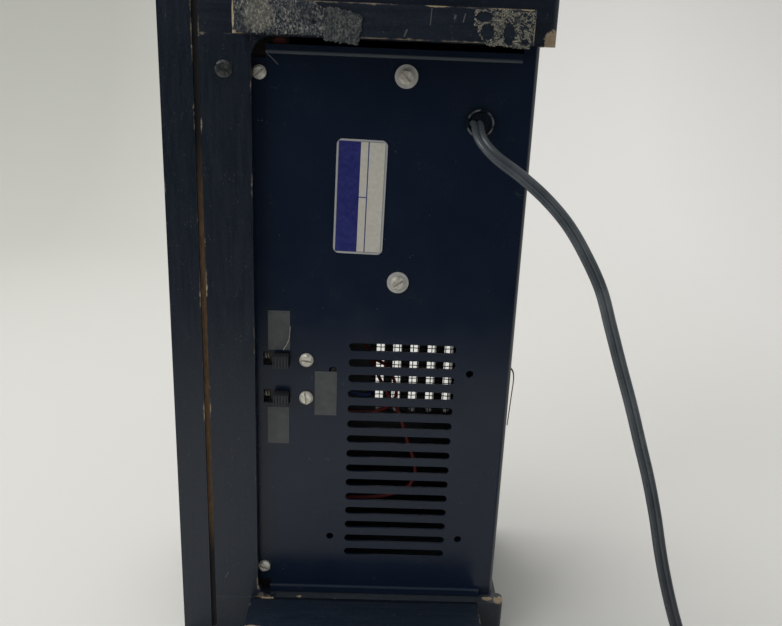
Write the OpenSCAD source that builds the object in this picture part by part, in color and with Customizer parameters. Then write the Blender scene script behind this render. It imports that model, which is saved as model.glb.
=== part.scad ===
// Mains digital clock in a black wooden case, standing on its left end.
// X runs from the front (-X) to the back (+X), Y from the underside (-Y)
// to the top (+Y), and Z along the width of the clock, from its left end at 0.

/* [Case] */
// Front face of the bezel to the back edges of the end panels
case_depth = 164; // [150:1:200]
// Underside to top
case_height = 104; // [95:1:140]
// Left end to right end
case_width = 313; // [300:1:360]
// Thickness of each end panel
end_t = 20.5; // [14:0.5:25]
// Thickness of the top panel
top_t = 12.7; // [9:0.1:16]
// Radius of the outer back corners of the end panels
end_corner_r = 3; // [1:0.5:4]
// Height of the heel at the bottom of each end panel's back edge
heel_h = 8; // [8:0.5:20]
// How far the back edges of the panels stay in above that heel
heel_step = 3; // [0:0.5:4]
// Thickness of the front bezel
bezel_t = 14; // [10:0.5:20]
// Thickness of the hardboard sheet behind the bezel
hardboard_t = 2.6; // [2:0.1:4]
// How far the hardboard stays in from the outline of the case
hardboard_inset = 1.4; // [0:0.1:3]
// Depth of the bottom rail, front to back
rail_d = 21.4; // [19:0.1:26]
// Height of the bottom rail at its front
rail_h = 19; // [14:0.5:22]
// Depth of the thin lip that covers the front edge of the chassis
rail_lip_d = 10; // [7:0.5:11]
// Thickness of that lip
rail_lip_t = 3.6; // [3:0.1:4]
// Radius of the routed corners where the rail meets the end panels
rail_corner_r = 9; // [4:0.5:12]
// Side of the glue blocks that the chassis screws bite into
block_l = 22; // [18:0.5:26]
// Thickness of those glue blocks
block_t = 12; // [9:0.5:14]

/* [Feet] */
// Height of the feet under the end panels
foot_h = 25; // [10:0.5:40]
// Thickness of the feet, which are flush with the inner faces of the end panels
foot_w = 12.7; // [8:0.1:13]
// Distance from the front face to the feet
foot_front = 34.6; // [20:0.1:40]
// Distance from the back edge to the feet
foot_back = 13.6; // [5:0.1:20]
// Radius of their lower corners
foot_corner_r = 2; // [1:0.5:4]

/* [Front window] */
// Length of the opening in the bezel
window_l = 214; // [180:1:230]
// Width of the bevel round the opening
window_bevel = 5; // [2:0.5:8]
// Thickness of the acrylic window
window_t = 3; // [2:0.5:4]
// How far the window is larger than its opening on each side
window_lap = 5; // [3:0.5:8]

/* [Top vents] */
// Number of slots in the top panel
top_slots = 5; // [3:1:6]
// Length of a top slot
top_slot_l = 143; // [80:1:180]
// Width of a top slot
top_slot_w = 5; // [4:0.1:6]
// Pitch of the top slots
top_slot_pitch = 10; // [8:0.1:11]
// Distance from the back wall to the middle of the last top slot
top_slot_back = 21.8; // [18:0.1:24]
// Pitch of the wires of the vent screen
screen_pitch = 5.5; // [5:0.1:8]
// Diameter of the screen's wires
screen_wire = 0.9; // [0.6:0.1:1.2]

/* [Chassis] */
// Distance of the chassis plate above the underside of the case
plate_recess = 6.4; // [5:0.1:8]
// Thickness of the steel sheet
sheet_t = 1.2; // [0.8:0.1:1.6]
// How far the back wall stays in from the back edges of the end panels
back_recess = 5.2; // [4:0.1:10]
// Outside radius of the bend between plate and back wall
bend_r = 2.4; // [1.6:0.1:4]
// Gap from the left end panel to the joggled flange
flange_gap_low = 0.5; // [0.3:0.1:2]
// Gap from the right end panel to the joggled flange
flange_gap_high = 3; // [1:0.1:4]
// Width of the joggled flange
flange_w = 3.9; // [3:0.1:6]
// How far the flange steps out from the plate
flange_step = 2; // [1.4:0.1:3]
// Distance from the front face to the start of the flange
flange_start = 43.5; // [40:0.5:50]
// Distance of the flange's back end from the back wall
flange_back = 7.3; // [5:0.1:20]
// Depth of the notch in each front corner of the plate
corner_notch = 3; // [1:0.5:5]
// Width of the lip folded in at the top of the back wall
back_lip = 9; // [5:0.5:12]

/* [Bottom vents] */
// Number of slots in the chassis plate
vent_slots = 15; // [12:1:16]
// Length of a slot
vent_l = 50.8; // [30:0.1:52]
// Width of a slot
vent_w = 3.97; // [3:0.01:5]
// Distance from the front face to the front end of the slots
vent_start = 81.2; // [78:0.1:84]
// Height of the lowest slot above the left end
vent_low = 44.54; // [44:0.01:50]
// Distance from the lower transformer screw to the uppermost slot
vent_gap = 32.25; // [30:0.05:38]

/* [Spare holes] */
// Diameter of the four spare fixing holes
spare_d = 3.6; // [2.5:0.1:4.5]
// Distance from the front face to the first pair
spare_start = 73.8; // [70:0.1:76]
// Spacing of the spare holes from front to back
spare_dx = 65.1; // [60:0.1:70]
// Spacing of the spare holes along the width
spare_dz = 90.5; // [80:0.1:92]
// Height of the lower pair above the left end
spare_low = 53.3; // [50:0.1:60]

/* [Time setting switches] */
// Gap from the rail to the front edge of a switch opening
switch_open_gap = 3; // [2.5:0.1:4]
// Length of the opening
switch_open_l = 12.6; // [12:0.1:14]
// Width of the opening
switch_open_w = 6.8; // [6.4:0.1:8]
// Height of the upper switch above the left end
slow_z = 148.7; // [147:0.1:150]
// Spacing of the two switches
switch_spacing = 19.3; // [17:0.1:20]
// Length of the ribbed lever
lever_l = 7; // [5:0.1:7.5]
// Width of the ribbed lever
lever_w = 5.7; // [4:0.1:6]
// How far the lever stands out of the plate
lever_out = 6; // [3:0.1:6.2]
// Travel of the lever towards the front
lever_travel = 4; // [2:0.1:4.2]
// Running clearance round the lever and the slide
switch_fit = 0.4; // [0.3:0.05:0.5]
// Spacing of the two screws of a switch
switch_screw_spacing = 28.2; // [28:0.1:30]
// Length of the switch frame
switch_frame_l = 36; // [35:0.1:38]
// Length of the switch can
switch_can_l = 22; // [19:0.1:22.2]
// Width of the switch can
switch_can_w = 11; // [10:0.1:12.5]
// Height of the switch can
switch_can_h = 8.6; // [8:0.1:9]
// Sheet thickness of the switch frame and can
switch_sheet = 0.8; // [0.6:0.1:1]
// Thickness of the contact base of the switch
switch_base_t = 1.6; // [1.2:0.1:2]
// Length of the solder terminals
terminal_l = 5; // [3:0.1:6]

/* [Transformer] */
// Distance from the back wall to the transformer screws
core_back = 56; // [54:0.1:58]
// Spacing of the transformer screws
core_screw_spacing = 90.5; // [90:0.1:92]
// Distance of the middle of the transformer below the right end
core_drop = 79.8; // [78:0.1:84]
// Length of the core
core_l = 76.2; // [70:0.1:77]
// Height of the core
core_h = 63.5; // [55:0.1:66]
// Thickness of the stack of laminations
core_stack = 30; // [20:0.5:34]
// Width of an outer leg of the core
core_leg = 12.7; // [10:0.1:13]
// Thickness of the winding outside the core's legs
winding_t = 10; // [6:0.5:10.5]
// Thickness of the clamp strap
strap_t = 1.6; // [1:0.1:2]
// Width of the clamp strap
strap_w = 24; // [16:0.5:28]

/* [Power cord] */
// Width of the flat two conductor cord
cord_w = 5.5; // [5:0.1:6]
// Thickness of the cord
cord_t = 2.8; // [2.4:0.1:3]
// Distance from the back wall to the middle of the bushing
bushing_back = 23.5; // [21:0.1:24]
// Distance of the bushing below the right end
bushing_drop = 52.7; // [51:0.1:54]
// Diameter of the bushing's outer ring
bushing_d = 12.6; // [12:0.1:14]
// Diameter of the hole that the bushing snaps into
bushing_hole_d = 11.2; // [10.5:0.1:11.5]
// How far the cord lies in front of the middle of the bushing
cord_offset = 2; // [1:0.1:2.2]
// Gap between neighbouring turns of the coil
coil_gap = 0.6; // [0.5:0.05:1]
// Radius at the inside of the coil
coil_inner_r = 27.5; // [24:0.5:30]
// Turns in each layer of the coil
coil_turns = 3; // [2:1:4]
// Length of the moulded plug body
plug_l = 27; // [22:0.5:34]
// Width of the plug body
plug_w = 22; // [20:0.5:26]
// Thickness of the plug body
plug_t = 13; // [11:0.5:16]
// Spacing of the two blades
blade_spacing = 12.7; // [12:0.1:13]
// Length of a blade
blade_l = 15.9; // [14:0.1:18]

/* [Circuit boards] */
// Thickness of both boards
pcb_t = 1.6; // [1:0.1:2]
// Gap from the hardboard to the display board
display_gap = 9.6; // [9:0.1:10]
// Length of the display board
display_l = 213; // [190:1:225]
// Gap from the top panel to the display board
board_top_gap = 1.8; // [1:0.1:4]
// Gap from the bottom rail to the display board
board_low_gap = 3.5; // [3:0.1:5]
// How far the display board reaches past the window above and below
board_rim = 6.5; // [6.5:0.1:8]
// How far the main board stays above the lower edge of the display board
main_inset_low = 4.5; // [4:0.1:4.7]
// How far the main board stays below the upper edge of the display board
main_inset_top = 2.5; // [2.2:0.1:4]
// Gap between the display board and the main board
board_gap = 29; // [26:0.5:32]
// Length of the main board
main_l = 134; // [120:1:138]
// Share of the free length beside the main board that lies below it
main_share = 0.51; // [0.4:0.01:0.55]
// Number of display digits
digits = 6; // [4:2:6]
// Pitch of the digits
digit_pitch = 32; // [26:0.5:34]
// Thickness of a digit module
digit_t = 6; // [4:0.5:8]
// How far the digit modules stay inside the window above and below
digit_rim = 7; // [7:0.1:12]

/* [Labels and trim] */
// Length of the blank data plate
plate_label_l = 50.8; // [40:0.1:60]
// Width of the blank data plate
plate_label_w = 22.2; // [18:0.1:26]
// Distance from the front face to the middle of the data plate
plate_label_x = 84.5; // [80:0.1:88]
// Height of the middle of the data plate above the left end
plate_label_z = 226.2; // [220:0.1:232]
// Thickness of the torn felt pads
pad_t = 0.6; // [0.4:0.1:1.5]

/* [Hidden] */
$fn = 48;

black_paint = "#1d2226";
steel_black = "#14181f";
zinc = "#c9c9c4";
board_green = "#2f5d3a";

// Places shared by several pieces
body_start = bezel_t + hardboard_t;
right_in = case_width - end_t;
top_in = case_height - top_t;
rail_back = body_start + rail_d;
back_wall = case_depth - back_recess;
panel_back = case_depth - heel_step;
flange_l = back_wall - flange_back - flange_start;
switch_open_start = rail_back + switch_open_gap;
core_x = back_wall - core_back;
core_z = case_width - core_drop;
bushing_x = back_wall - bushing_back;
bushing_z = case_width - bushing_drop;
plate_in = plate_recess + sheet_t;
pan_low = end_t + flange_gap_low + flange_w - sheet_t;
pan_high = right_in - flange_gap_high - flange_w + sheet_t;
plate_front = rail_back - rail_lip_d + 1;
mid_z = case_width / 2;
top_slot_start = back_wall - top_slot_back - (top_slots - 1) * top_slot_pitch;
vent_top = core_z - core_screw_spacing / 2 - vent_gap;
vent_pitch = (vent_top - vent_low) / (vent_slots - 1);
display_base = rail_h + board_low_gap;
display_top = top_in - board_top_gap;
display_h = display_top - display_base;
window_h = display_h - 2 * board_rim;
window_mid = (display_base + display_top) / 2;
digit_h = window_h - 2 * digit_rim;
main_base = display_base + main_inset_low;
main_h = display_top - main_inset_top - main_base;
main_low = end_t + main_share * (core_z - core_l / 2 - end_t - main_l);
fast_z = slow_z - switch_spacing;
lever_end = switch_open_start + switch_open_l - switch_fit;
switch_mid = switch_open_start + switch_open_l / 2;
switch_hole_front = switch_mid - switch_screw_spacing / 2;
switch_hole_back = switch_mid + switch_screw_spacing / 2;
front_screw_x = rail_back + 2.6;
front_screw_z = end_t + 14.5;
rear_screw_v = top_in - 11.5;
display_x = body_start + display_gap;
main_x = display_x + pcb_t + board_gap;
cord_x = bushing_x - cord_offset;
cord_exit = 2.4;

// Distances from the front face, from the underside and along the width
// become part coordinates, with the case in the middle and its feet below it.
function fx(u) = u - case_depth / 2;
function vy(v) = v + (pad_t - case_height) / 2;
function unit(v) = v / norm(v);
function blend(a, b, t) = a + (b - a) * t;
function ease(t) = t * t * (3 - 2 * t);

module slab(u, v, w) {
    translate([fx(u[0]), vy(v[0]), w[0]])
        cube([u[1] - u[0], v[1] - v[0], w[1] - w[0]]);
}

// A round bar or bore along Y, from v[0] to v[1] above the underside
module upright(u, v, w, d, fn = 48) {
    translate([fx(u), vy(v[0]), w])
        rotate([-90, 0, 0])
            cylinder(d = d, h = v[1] - v[0], $fn = fn);
}

// A round bar or bore along X, from u[0] to u[1] behind the front face
module level(u, v, w, d, fn = 48) {
    translate([fx(u[0]), vy(v), w])
        rotate([0, 90, 0])
            cylinder(d = d, h = u[1] - u[0], $fn = fn);
}

// A rounded rectangle of exact arcs in the XY plane, from the origin
module round_rect(a, b, r) {
    translate([r, 0])
        square([a - 2 * r, b]);
    translate([0, r])
        square([a, b - 2 * r]);
    for (x = [r, a - r], y = [r, b - r])
        translate([x, y])
            circle(r);
}

// A slot with round ends that runs along X, cut through the plate along Y
module plate_slot(u, w, l, d, v) {
    slab([u + d / 2, u + l - d / 2], v, [w - d / 2, w + d / 2]);
    for (e = [u + d / 2, u + l - d / 2])
        upright(e, v, w, d);
}

// A slotted pan head whose top faces the underside, with its shank above it
module pan_screw(u, w, head_v, head_d, head_h, shank_d, shank_l, turn) {
    difference() {
        union() {
            upright(u, [head_v - head_h * 0.55, head_v], w, head_d);
            translate([fx(u), vy(head_v - head_h * 0.55), w])
                rotate([90, 0, 0])
                    cylinder(d1 = head_d, d2 = head_d * 0.72, h = head_h * 0.45, $fn = 48);
            upright(u, [head_v - 0.01, head_v + shank_l], w, shank_d, 24);
        }
        translate([fx(u), vy(head_v - head_h), w])
            rotate([0, turn, 0])
                cube([head_d * 1.2, head_h * 0.9, head_d * 0.15], center = true);
    }
}

module hex_nut(u, v, w, across, t, bore) {
    difference() {
        translate([fx(u), vy(v), w])
            rotate([-90, 30, 0])
                cylinder(d = across / cos(30), h = t, $fn = 6);
        upright(u, [v - 1, v + t + 1], w, bore, 24);
    }
}

// An end panel from w up to w + end_t, with rounded back corners and a heel
module end_panel(w) {
    translate([fx(body_start), vy(0), w])
        linear_extrude(end_t) {
            translate([end_corner_r, 0])
                round_rect(panel_back - body_start - end_corner_r, case_height, end_corner_r);
            translate([end_corner_r, 0])
                round_rect(case_depth - body_start - end_corner_r, heel_h, end_corner_r);
            square([end_corner_r * 3, case_height]);
        }
}

module left_end_panel() {
    color(black_paint)
        end_panel(0);
}

module right_end_panel() {
    color(black_paint)
        end_panel(right_in);
}

module top_panel() {
    color(black_paint)
        difference() {
            slab([body_start, panel_back], [top_in, case_height], [end_t, right_in]);
            for (i = [0:top_slots - 1])
                top_slot(top_slot_start + i * top_slot_pitch);
        }
}

module top_slot(u) {
    v = [top_in - 1, case_height + 1];
    reach = top_slot_l / 2 - top_slot_w / 2;
    slab([u - top_slot_w / 2, u + top_slot_w / 2], v, [mid_z - reach, mid_z + reach]);
    for (s = [-1, 1])
        upright(u, v, mid_z + s * reach, top_slot_w);
}

// The rail is thick at the front and ends in a thin lip over the chassis
module bottom_front_rail() {
    color(black_paint)
        difference() {
            union() {
                slab([body_start, rail_back - rail_lip_d], [0, rail_h], [end_t, right_in]);
                slab([body_start, rail_back], [0, rail_lip_t], [end_t, right_in]);
                for (s = [0, 1])
                    rail_corner(s);
            }
            upright(rail_screw_x, [-1, 0.9], rail_screw_z, rail_screw_d + 0.4);
            upright(rail_screw_x, [0, 14.9], rail_screw_z, 4, 24);
        }
}

rail_screw_x = body_start + 10;
rail_screw_z = right_in - 13.7;
rail_screw_d = 7.4;

module rail_corner(side) {
    w = side == 0 ? end_t : right_in - rail_corner_r;
    middle = side == 0 ? end_t + rail_corner_r : right_in - rail_corner_r;
    difference() {
        slab([rail_back - 0.01, rail_back + rail_corner_r], [0, rail_lip_t], [w, w + rail_corner_r]);
        upright(rail_back + rail_corner_r, [-1, rail_lip_t + 1], middle, 2 * rail_corner_r);
    }
}

module front_corner_blocks() {
    color("#9a7350")
        for (w = [end_t, right_in - block_l])
            difference() {
                slab([plate_front + 2, plate_front + 2 + block_l], [plate_in, plate_in + block_t], [w, w + block_l]);
                upright(front_screw_x, [plate_in - 1, plate_recess + 12], w == end_t ? front_screw_z : case_width - front_screw_z, 3.4, 24);
            }
}

module rear_corner_blocks() {
    start = back_wall - sheet_t;
    color("#9a7350")
        for (w = [end_t, right_in - block_l])
            difference() {
                slab([start - block_t, start], [top_in - block_l, top_in], [w, w + block_l]);
                slab([back_wall - bend_r - 0.7, back_wall], [top_in - bend_r - 0.4, top_in + 1], [w - 1, w + block_l + 1]);
                level([back_wall - 10, back_wall], rear_screw_v, w + block_l / 2, 3.2, 24);
            }
}

module front_bezel() {
    outer = window_l + 2 * window_bevel;
    color(black_paint)
        difference() {
            slab([0, bezel_t], [0, case_height], [0, case_width]);
            slab([-1, bezel_t + 1], [window_mid - window_h / 2, window_mid + window_h / 2],
                [mid_z - window_l / 2, mid_z + window_l / 2]);
            slab([bezel_t - window_t - 0.4, bezel_t + 1],
                [window_mid - window_h / 2 - window_lap, window_mid + window_h / 2 + window_lap],
                [mid_z - window_l / 2 - window_lap, mid_z + window_l / 2 + window_lap]);
            hull() {
                translate([fx(-0.01), vy(window_mid), mid_z])
                    cube([0.02, window_h + 2 * window_bevel, outer], center = true);
                translate([fx(window_bevel), vy(window_mid), mid_z])
                    cube([0.02, window_h, window_l], center = true);
            }
        }
}

module hardboard_backing() {
    inset = hardboard_inset;
    color("#6b4a30")
        difference() {
            slab([bezel_t, body_start], [inset, case_height - inset], [inset, case_width - inset]);
            slab([bezel_t - 1, body_start + 1], [window_mid - window_h / 2, window_mid + window_h / 2],
                [mid_z - window_l / 2, mid_z + window_l / 2]);
            for (v = stand_v, w = stand_w)
                level([bezel_t - 1, body_start + 1], v, w, 2.6, 24);
        }
}

module display_window() {
    fit = 0.3;
    half_l = window_l / 2 + window_lap - fit;
    half_h = window_h / 2 + window_lap - fit;
    color("#5a0f12", 0.8)
        slab([bezel_t - window_t, bezel_t], [window_mid - half_h, window_mid + half_h],
            [mid_z - half_l, mid_z + half_l]);
}

// Two layers of wires that touch where they cross
module vent_screen() {
    across = top_slots * top_slot_pitch + 2;
    along = top_slot_l + 12;
    u0 = top_slot_start - top_slot_pitch / 2 - 1;
    w0 = mid_z - along / 2;
    rows = floor(along / screen_pitch);
    columns = floor(across / screen_pitch);
    lap = screen_wire * 0.8;
    color("#30343a") {
        for (i = [0:columns])
            slab([u0 + i * screen_pitch, u0 + i * screen_pitch + screen_wire],
                [top_in - screen_wire, top_in], [w0, w0 + rows * screen_pitch + screen_wire]);
        for (j = [0:rows])
            slab([u0, u0 + columns * screen_pitch + screen_wire],
                [top_in - screen_wire - lap, top_in - screen_wire + 0.1],
                [w0 + j * screen_pitch, w0 + j * screen_pitch + screen_wire]);
    }
}

// A wooden foot along the underside of an end panel, from w up
module foot(w) {
    length = case_depth - foot_back - foot_front;
    translate([fx(foot_front), vy(-foot_h), w])
        linear_extrude(foot_w) {
            round_rect(length, foot_h - foot_corner_r, foot_corner_r);
            translate([0, foot_corner_r])
                square([length, foot_h - foot_corner_r]);
        }
}

module left_foot() {
    color(black_paint)
        foot(end_t - foot_w);
}

module right_foot() {
    color(black_paint)
        foot(right_in);
}

// Torn felt at both ends of the right foot
module foot_pads() {
    color("#4b4f4c")
        for (s = [[foot_front + foot_corner_r, 33], [case_depth - foot_back - foot_corner_r - 23, 23]])
            translate([fx(s[0]), vy(-foot_h), right_in + 0.3])
                rotate([90, 0, 0])
                    linear_extrude(pad_t)
                        round_rect(s[1], foot_w - 0.6, 1.2);
}

module rail_wood_screw() {
    color("#2a2d2f")
        pan_screw(rail_screw_x, rail_screw_z, 0.9, rail_screw_d, 1.4, 4, 14, 25);
}

// The pan is one sheet: plate, rounded back bend, back wall and top lip
module pan_profile() {
    t = sheet_t;
    top = top_in - 0.3;
    polygon(concat(
        [[plate_front, plate_in], [plate_front, plate_recess]],
        [for (a = [-90:15:0]) [back_wall - bend_r + bend_r * cos(a), plate_recess + bend_r + bend_r * sin(a)]],
        [for (a = [0:30:90]) [back_wall - bend_r + bend_r * cos(a), top - bend_r + bend_r * sin(a)]],
        [[back_wall - back_lip, top], [back_wall - back_lip, top - t], [back_wall - bend_r, top - t],
            [back_wall - t, top - bend_r], [back_wall - t, plate_recess + bend_r], [back_wall - bend_r, plate_in]]));
}

// One joggled flange in section: it steps towards the underside
module flange_profile() {
    t = sheet_t;
    r = t * 0.9;
    low = plate_recess - flange_step;
    edge = flange_w;
    polygon(concat(
        [[0, low], [0, low + t], [edge - t, low + t], [edge - t, plate_in - r]],
        [for (a = [180:-30:90]) [edge - t + r + r * cos(a), plate_in - r + r * sin(a)]],
        [[edge + 1, plate_in], [edge + 1, plate_recess], [edge, plate_recess], [edge, low + r]],
        [for (a = [0:-30:-90]) [edge - r + r * cos(a), low + r + r * sin(a)]]));
}

module chassis_pan() {
    color(steel_black)
        difference() {
            union() {
                translate([0, 0, pan_low])
                    linear_extrude(pan_high - pan_low)
                        translate([fx(0), vy(0)])
                            pan_profile();
                for (s = [0, 1])
                    flange(s);
            }
            for (i = [0:vent_slots - 1])
                plate_slot(vent_start, vent_top - i * vent_pitch, vent_l, vent_w, [plate_recess - 1, plate_in + 1]);
            for (u = [spare_start, spare_start + spare_dx], w = [spare_low, spare_low + spare_dz])
                upright(u, [plate_recess - 1, plate_in + 1], w, spare_d);
            for (w = [slow_z, fast_z])
                switch_cutouts(w);
            for (s = [-1, 1])
                upright(core_x, [plate_recess - 1, plate_in + 1], core_z + s * core_screw_spacing / 2, 4.6);
            upright(bushing_x, [plate_recess - 1, plate_in + 1], bushing_z, bushing_hole_d);
            for (w = [front_screw_z, case_width - front_screw_z])
                upright(front_screw_x, [plate_recess - 1, plate_in + 1], w, 3.8);
            for (w = [pan_low - 1, pan_high - corner_notch])
                slab([plate_front - 1, flange_start], [plate_recess - 3, plate_in + 1], [w, w + corner_notch + 1]);
            for (w = [end_t + block_l / 2, right_in - block_l / 2])
                level([back_wall - 5, back_wall + 5], rear_screw_v, w, 3.8);
            for (w = [end_t, right_in - block_l - 0.5])
                slab([back_wall - back_lip - 1, back_wall - bend_r - 0.4], [top_in - 6, top_in], [w, w + block_l + 0.5]);
        }
}

module flange(side) {
    place = side == 0 ? end_t + flange_gap_low : right_in - flange_gap_high;
    translate([fx(flange_start), vy(0), place])
        mirror([0, 0, side])
            rotate([90, 0, 90])
                linear_extrude(flange_l)
                    flange_upright();
}

// The flange section turned so that its width runs along Z
module flange_upright() {
    mirror([1, -1])
        flange_profile();
}

module switch_cutouts(w) {
    slab([switch_open_start, switch_open_start + switch_open_l], [plate_recess - 1, plate_in + 1],
        [w - switch_open_w / 2, w + switch_open_w / 2]);
    for (u = [switch_hole_front, switch_hole_back])
        upright(u, [plate_recess - 1, plate_in + 1], w, 3.6);
}

module chassis_front_screws() {
    color(zinc) {
        pan_screw(front_screw_x, front_screw_z, plate_recess, 6, 2.2, 3.4, 12, 20);
        pan_screw(front_screw_x, case_width - front_screw_z, plate_recess, 6, 2.2, 3.4, 12, -40);
    }
}

module chassis_rear_screws() {
    color(zinc)
        for (w = [end_t + block_l / 2, right_in - block_l / 2])
            difference() {
                union() {
                    level([back_wall, back_wall + 2], rear_screw_v, w, 6);
                    level([back_wall - 10, back_wall + 0.01], rear_screw_v, w, 3.2, 24);
                }
                slab([back_wall + 1, back_wall + 3], [rear_screw_v - 0.5, rear_screw_v + 0.5], [w - 4, w + 4]);
            }
}

module data_plate() {
    t = 0.5;
    rim = 0.9;
    color("#b9bcc2")
        translate([fx(plate_label_x), vy(plate_recess), plate_label_z])
            rotate([0, 1.1, 0])
                rotate([90, 0, 0])
                    translate([-plate_label_w / 2, -plate_label_l / 2, 0])
                        difference() {
                            linear_extrude(t)
                                round_rect(plate_label_w, plate_label_l, 2.6);
                            translate([rim, rim, t - 0.12])
                                linear_extrude(1)
                                    round_rect(plate_label_w - 2 * rim, plate_label_l - 2 * rim, 1.8);
                        }
}

// Three thin blank tags beside the switches
module legend_tags() {
    color("#6a6d70")
        for (s = [[2.4, 10.2, slow_z + 4.5, 19.3], [1.9, 10.3, fast_z - 24.6, 19.2], [24.4, 10.5, fast_z - 9, 22.6]])
            slab([switch_open_start + s[0], switch_open_start + s[0] + s[1]], [plate_recess - 0.25, plate_recess], [s[2], s[2] + s[3]]);
}

// A momentary slide switch: frame with ears, can and hollow for the slide
carriage_l = lever_l + 4;
carriage_w = switch_can_w - 2 * switch_sheet - 2 * switch_fit;
carriage_h = 3.4;
frame_in = plate_in + switch_sheet;
cavity_h = carriage_h + 2 * 0.3;
cavity_start = switch_mid - switch_can_l / 2 + switch_sheet;
cavity_end = lever_end + 2 + 0.3;

module switch_housing(w) {
    open_w = switch_open_w / 2;
    difference() {
        union() {
            slab([switch_mid - switch_frame_l / 2, switch_mid + switch_frame_l / 2], [plate_in, frame_in],
                [w - switch_can_w / 2, w + switch_can_w / 2]);
            slab([switch_mid - switch_can_l / 2, switch_mid + switch_can_l / 2], [frame_in - 0.01, plate_in + switch_can_h],
                [w - switch_can_w / 2, w + switch_can_w / 2]);
        }
        slab([switch_open_start, switch_open_start + switch_open_l], [plate_in - 1, frame_in + 1],
            [w - open_w, w + open_w]);
        slab([cavity_start, cavity_end], [frame_in, frame_in + cavity_h],
            [w - switch_can_w / 2 + switch_sheet, w + switch_can_w / 2 - switch_sheet]);
        for (u = [switch_hole_front, switch_hole_back])
            upright(u, [plate_in - 1, frame_in + 1], w, 3.6);
    }
}

module switch_slider(w) {
    ribs = 5;
    rib_pitch = lever_l / ribs;
    difference() {
        union() {
            slab([lever_end - lever_l - 2, lever_end + 2], [frame_in + 0.3, frame_in + 0.3 + carriage_h],
                [w - carriage_w / 2, w + carriage_w / 2]);
            slab([lever_end - lever_l, lever_end], [plate_recess - lever_out, frame_in + 0.31],
                [w - lever_w / 2, w + lever_w / 2]);
        }
        for (i = [0:ribs - 1])
            slab([lever_end - (i + 0.72) * rib_pitch, lever_end - (i + 0.28) * rib_pitch],
                [plate_recess - lever_out - 1, plate_recess - lever_out + 0.5], [w - lever_w, w + lever_w]);
    }
}

// The spring pushes the slide back to its stop
module switch_spring(w) {
    turns = 5;
    wire = 0.45;
    d = 2.6;
    free = lever_end - lever_l - 2 - cavity_start;
    length = free - 0.1;
    middle = frame_in + 0.3 + carriage_h / 2;
    steps = 14;
    path = [for (i = [0:turns * steps]) let (a = 360 * i / steps)
        [fx(cavity_start + wire / 2 + 0.06 + (length - wire - 0.02) * i / (turns * steps)),
            vy(middle + d / 2 * cos(a)), w + d / 2 * sin(a)]];
    sweep(path, [for (p = path) [1, 0, 0]], wire, wire, round_section);
}

module switch_terminals(w) {
    base = plate_in + switch_can_h;
    difference() {
        slab([switch_mid - switch_can_l / 2 + 1, switch_mid + switch_can_l / 2 - 1], [base, base + switch_base_t],
            [w - switch_can_w / 2 + 1, w + switch_can_w / 2 - 1]);
        upright(switch_mid, [base + 0.8, base + 5], w, 1.6, 24);
    }
    for (i = [-1, 0, 1], s = [-1, 1])
        terminal(switch_mid + i * 5.5, base + switch_base_t, w + s * 2.8);
}

module terminal(u, v, w) {
    difference() {
        slab([u - 1.1, u + 1.1], [v - 0.01, v + terminal_l], [w - 0.25, w + 0.25]);
        translate([fx(u), vy(v + terminal_l - 1.6), w])
            cylinder(d = 1.2, h = 4, center = true, $fn = 24);
    }
}

module slow_switch_housing() {
    color("#8d9090")
        switch_housing(slow_z);
}

module slow_switch_slider() {
    color("#23262a")
        switch_slider(slow_z);
}

module slow_switch_spring() {
    color(zinc)
        switch_spring(slow_z);
}

module slow_switch_terminals() {
    color("#7a5230")
        switch_terminals(slow_z);
}

module fast_switch_housing() {
    color("#8d9090")
        switch_housing(fast_z);
}

module fast_switch_slider() {
    color("#23262a")
        switch_slider(fast_z);
}

module fast_switch_spring() {
    color(zinc)
        switch_spring(fast_z);
}

module fast_switch_terminals() {
    color("#7a5230")
        switch_terminals(fast_z);
}

module switch_screws() {
    color(zinc) {
        for (w = [slow_z, fast_z])
            pan_screw(switch_hole_back, w, plate_recess, 6.5, 2.4, 3.4, sheet_t + switch_sheet + 3.6, w == slow_z ? 8 : 82);
        for (w = [slow_z, fast_z])
            pan_screw(switch_hole_front, w, plate_recess, 6.5, 2.4, 3.4, sheet_t + switch_sheet + 3.6, 30);
    }
}

module switch_nuts() {
    color(zinc)
        for (w = [slow_z, fast_z], u = [switch_hole_front, switch_hole_back])
            hex_nut(u, frame_in, w, 5.8, 2.4, 3.4);
}

// An E-I core: two windows beside a middle leg twice as wide as an outer one
module transformer_core() {
    window_w = (core_l - 4 * core_leg) / 2;
    color("#5b5f63")
        difference() {
            slab([core_x - core_stack / 2, core_x + core_stack / 2], [plate_in, plate_in + core_h],
                [core_z - core_l / 2, core_z + core_l / 2]);
            for (s = [-1, 1])
                slab([core_x - core_stack, core_x + core_stack], [plate_in + core_leg, plate_in + core_h - core_leg],
                    [core_z + s * (core_leg + window_w / 2) - window_w / 2, core_z + s * (core_leg + window_w / 2) + window_w / 2]);
        }
}

module transformer_winding() {
    fit = 0.4;
    window_w = (core_l - 4 * core_leg) / 2;
    half_u = core_stack / 2 + winding_t;
    half_w = core_leg + window_w - fit;
    low = plate_in + core_leg + fit;
    high = plate_in + core_h - core_leg - fit;
    color("#c9b483")
        difference() {
            translate([fx(core_x) - half_u, vy(low), core_z + half_w])
                rotate([-90, 0, 0])
                    linear_extrude(high - low)
                        round_rect(2 * half_u, 2 * half_w, 5);
            slab([core_x - core_stack / 2 - fit, core_x + core_stack / 2 + fit], [low - 1, high + 1],
                [core_z - core_leg - fit, core_z + core_leg + fit]);
        }
}

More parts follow.
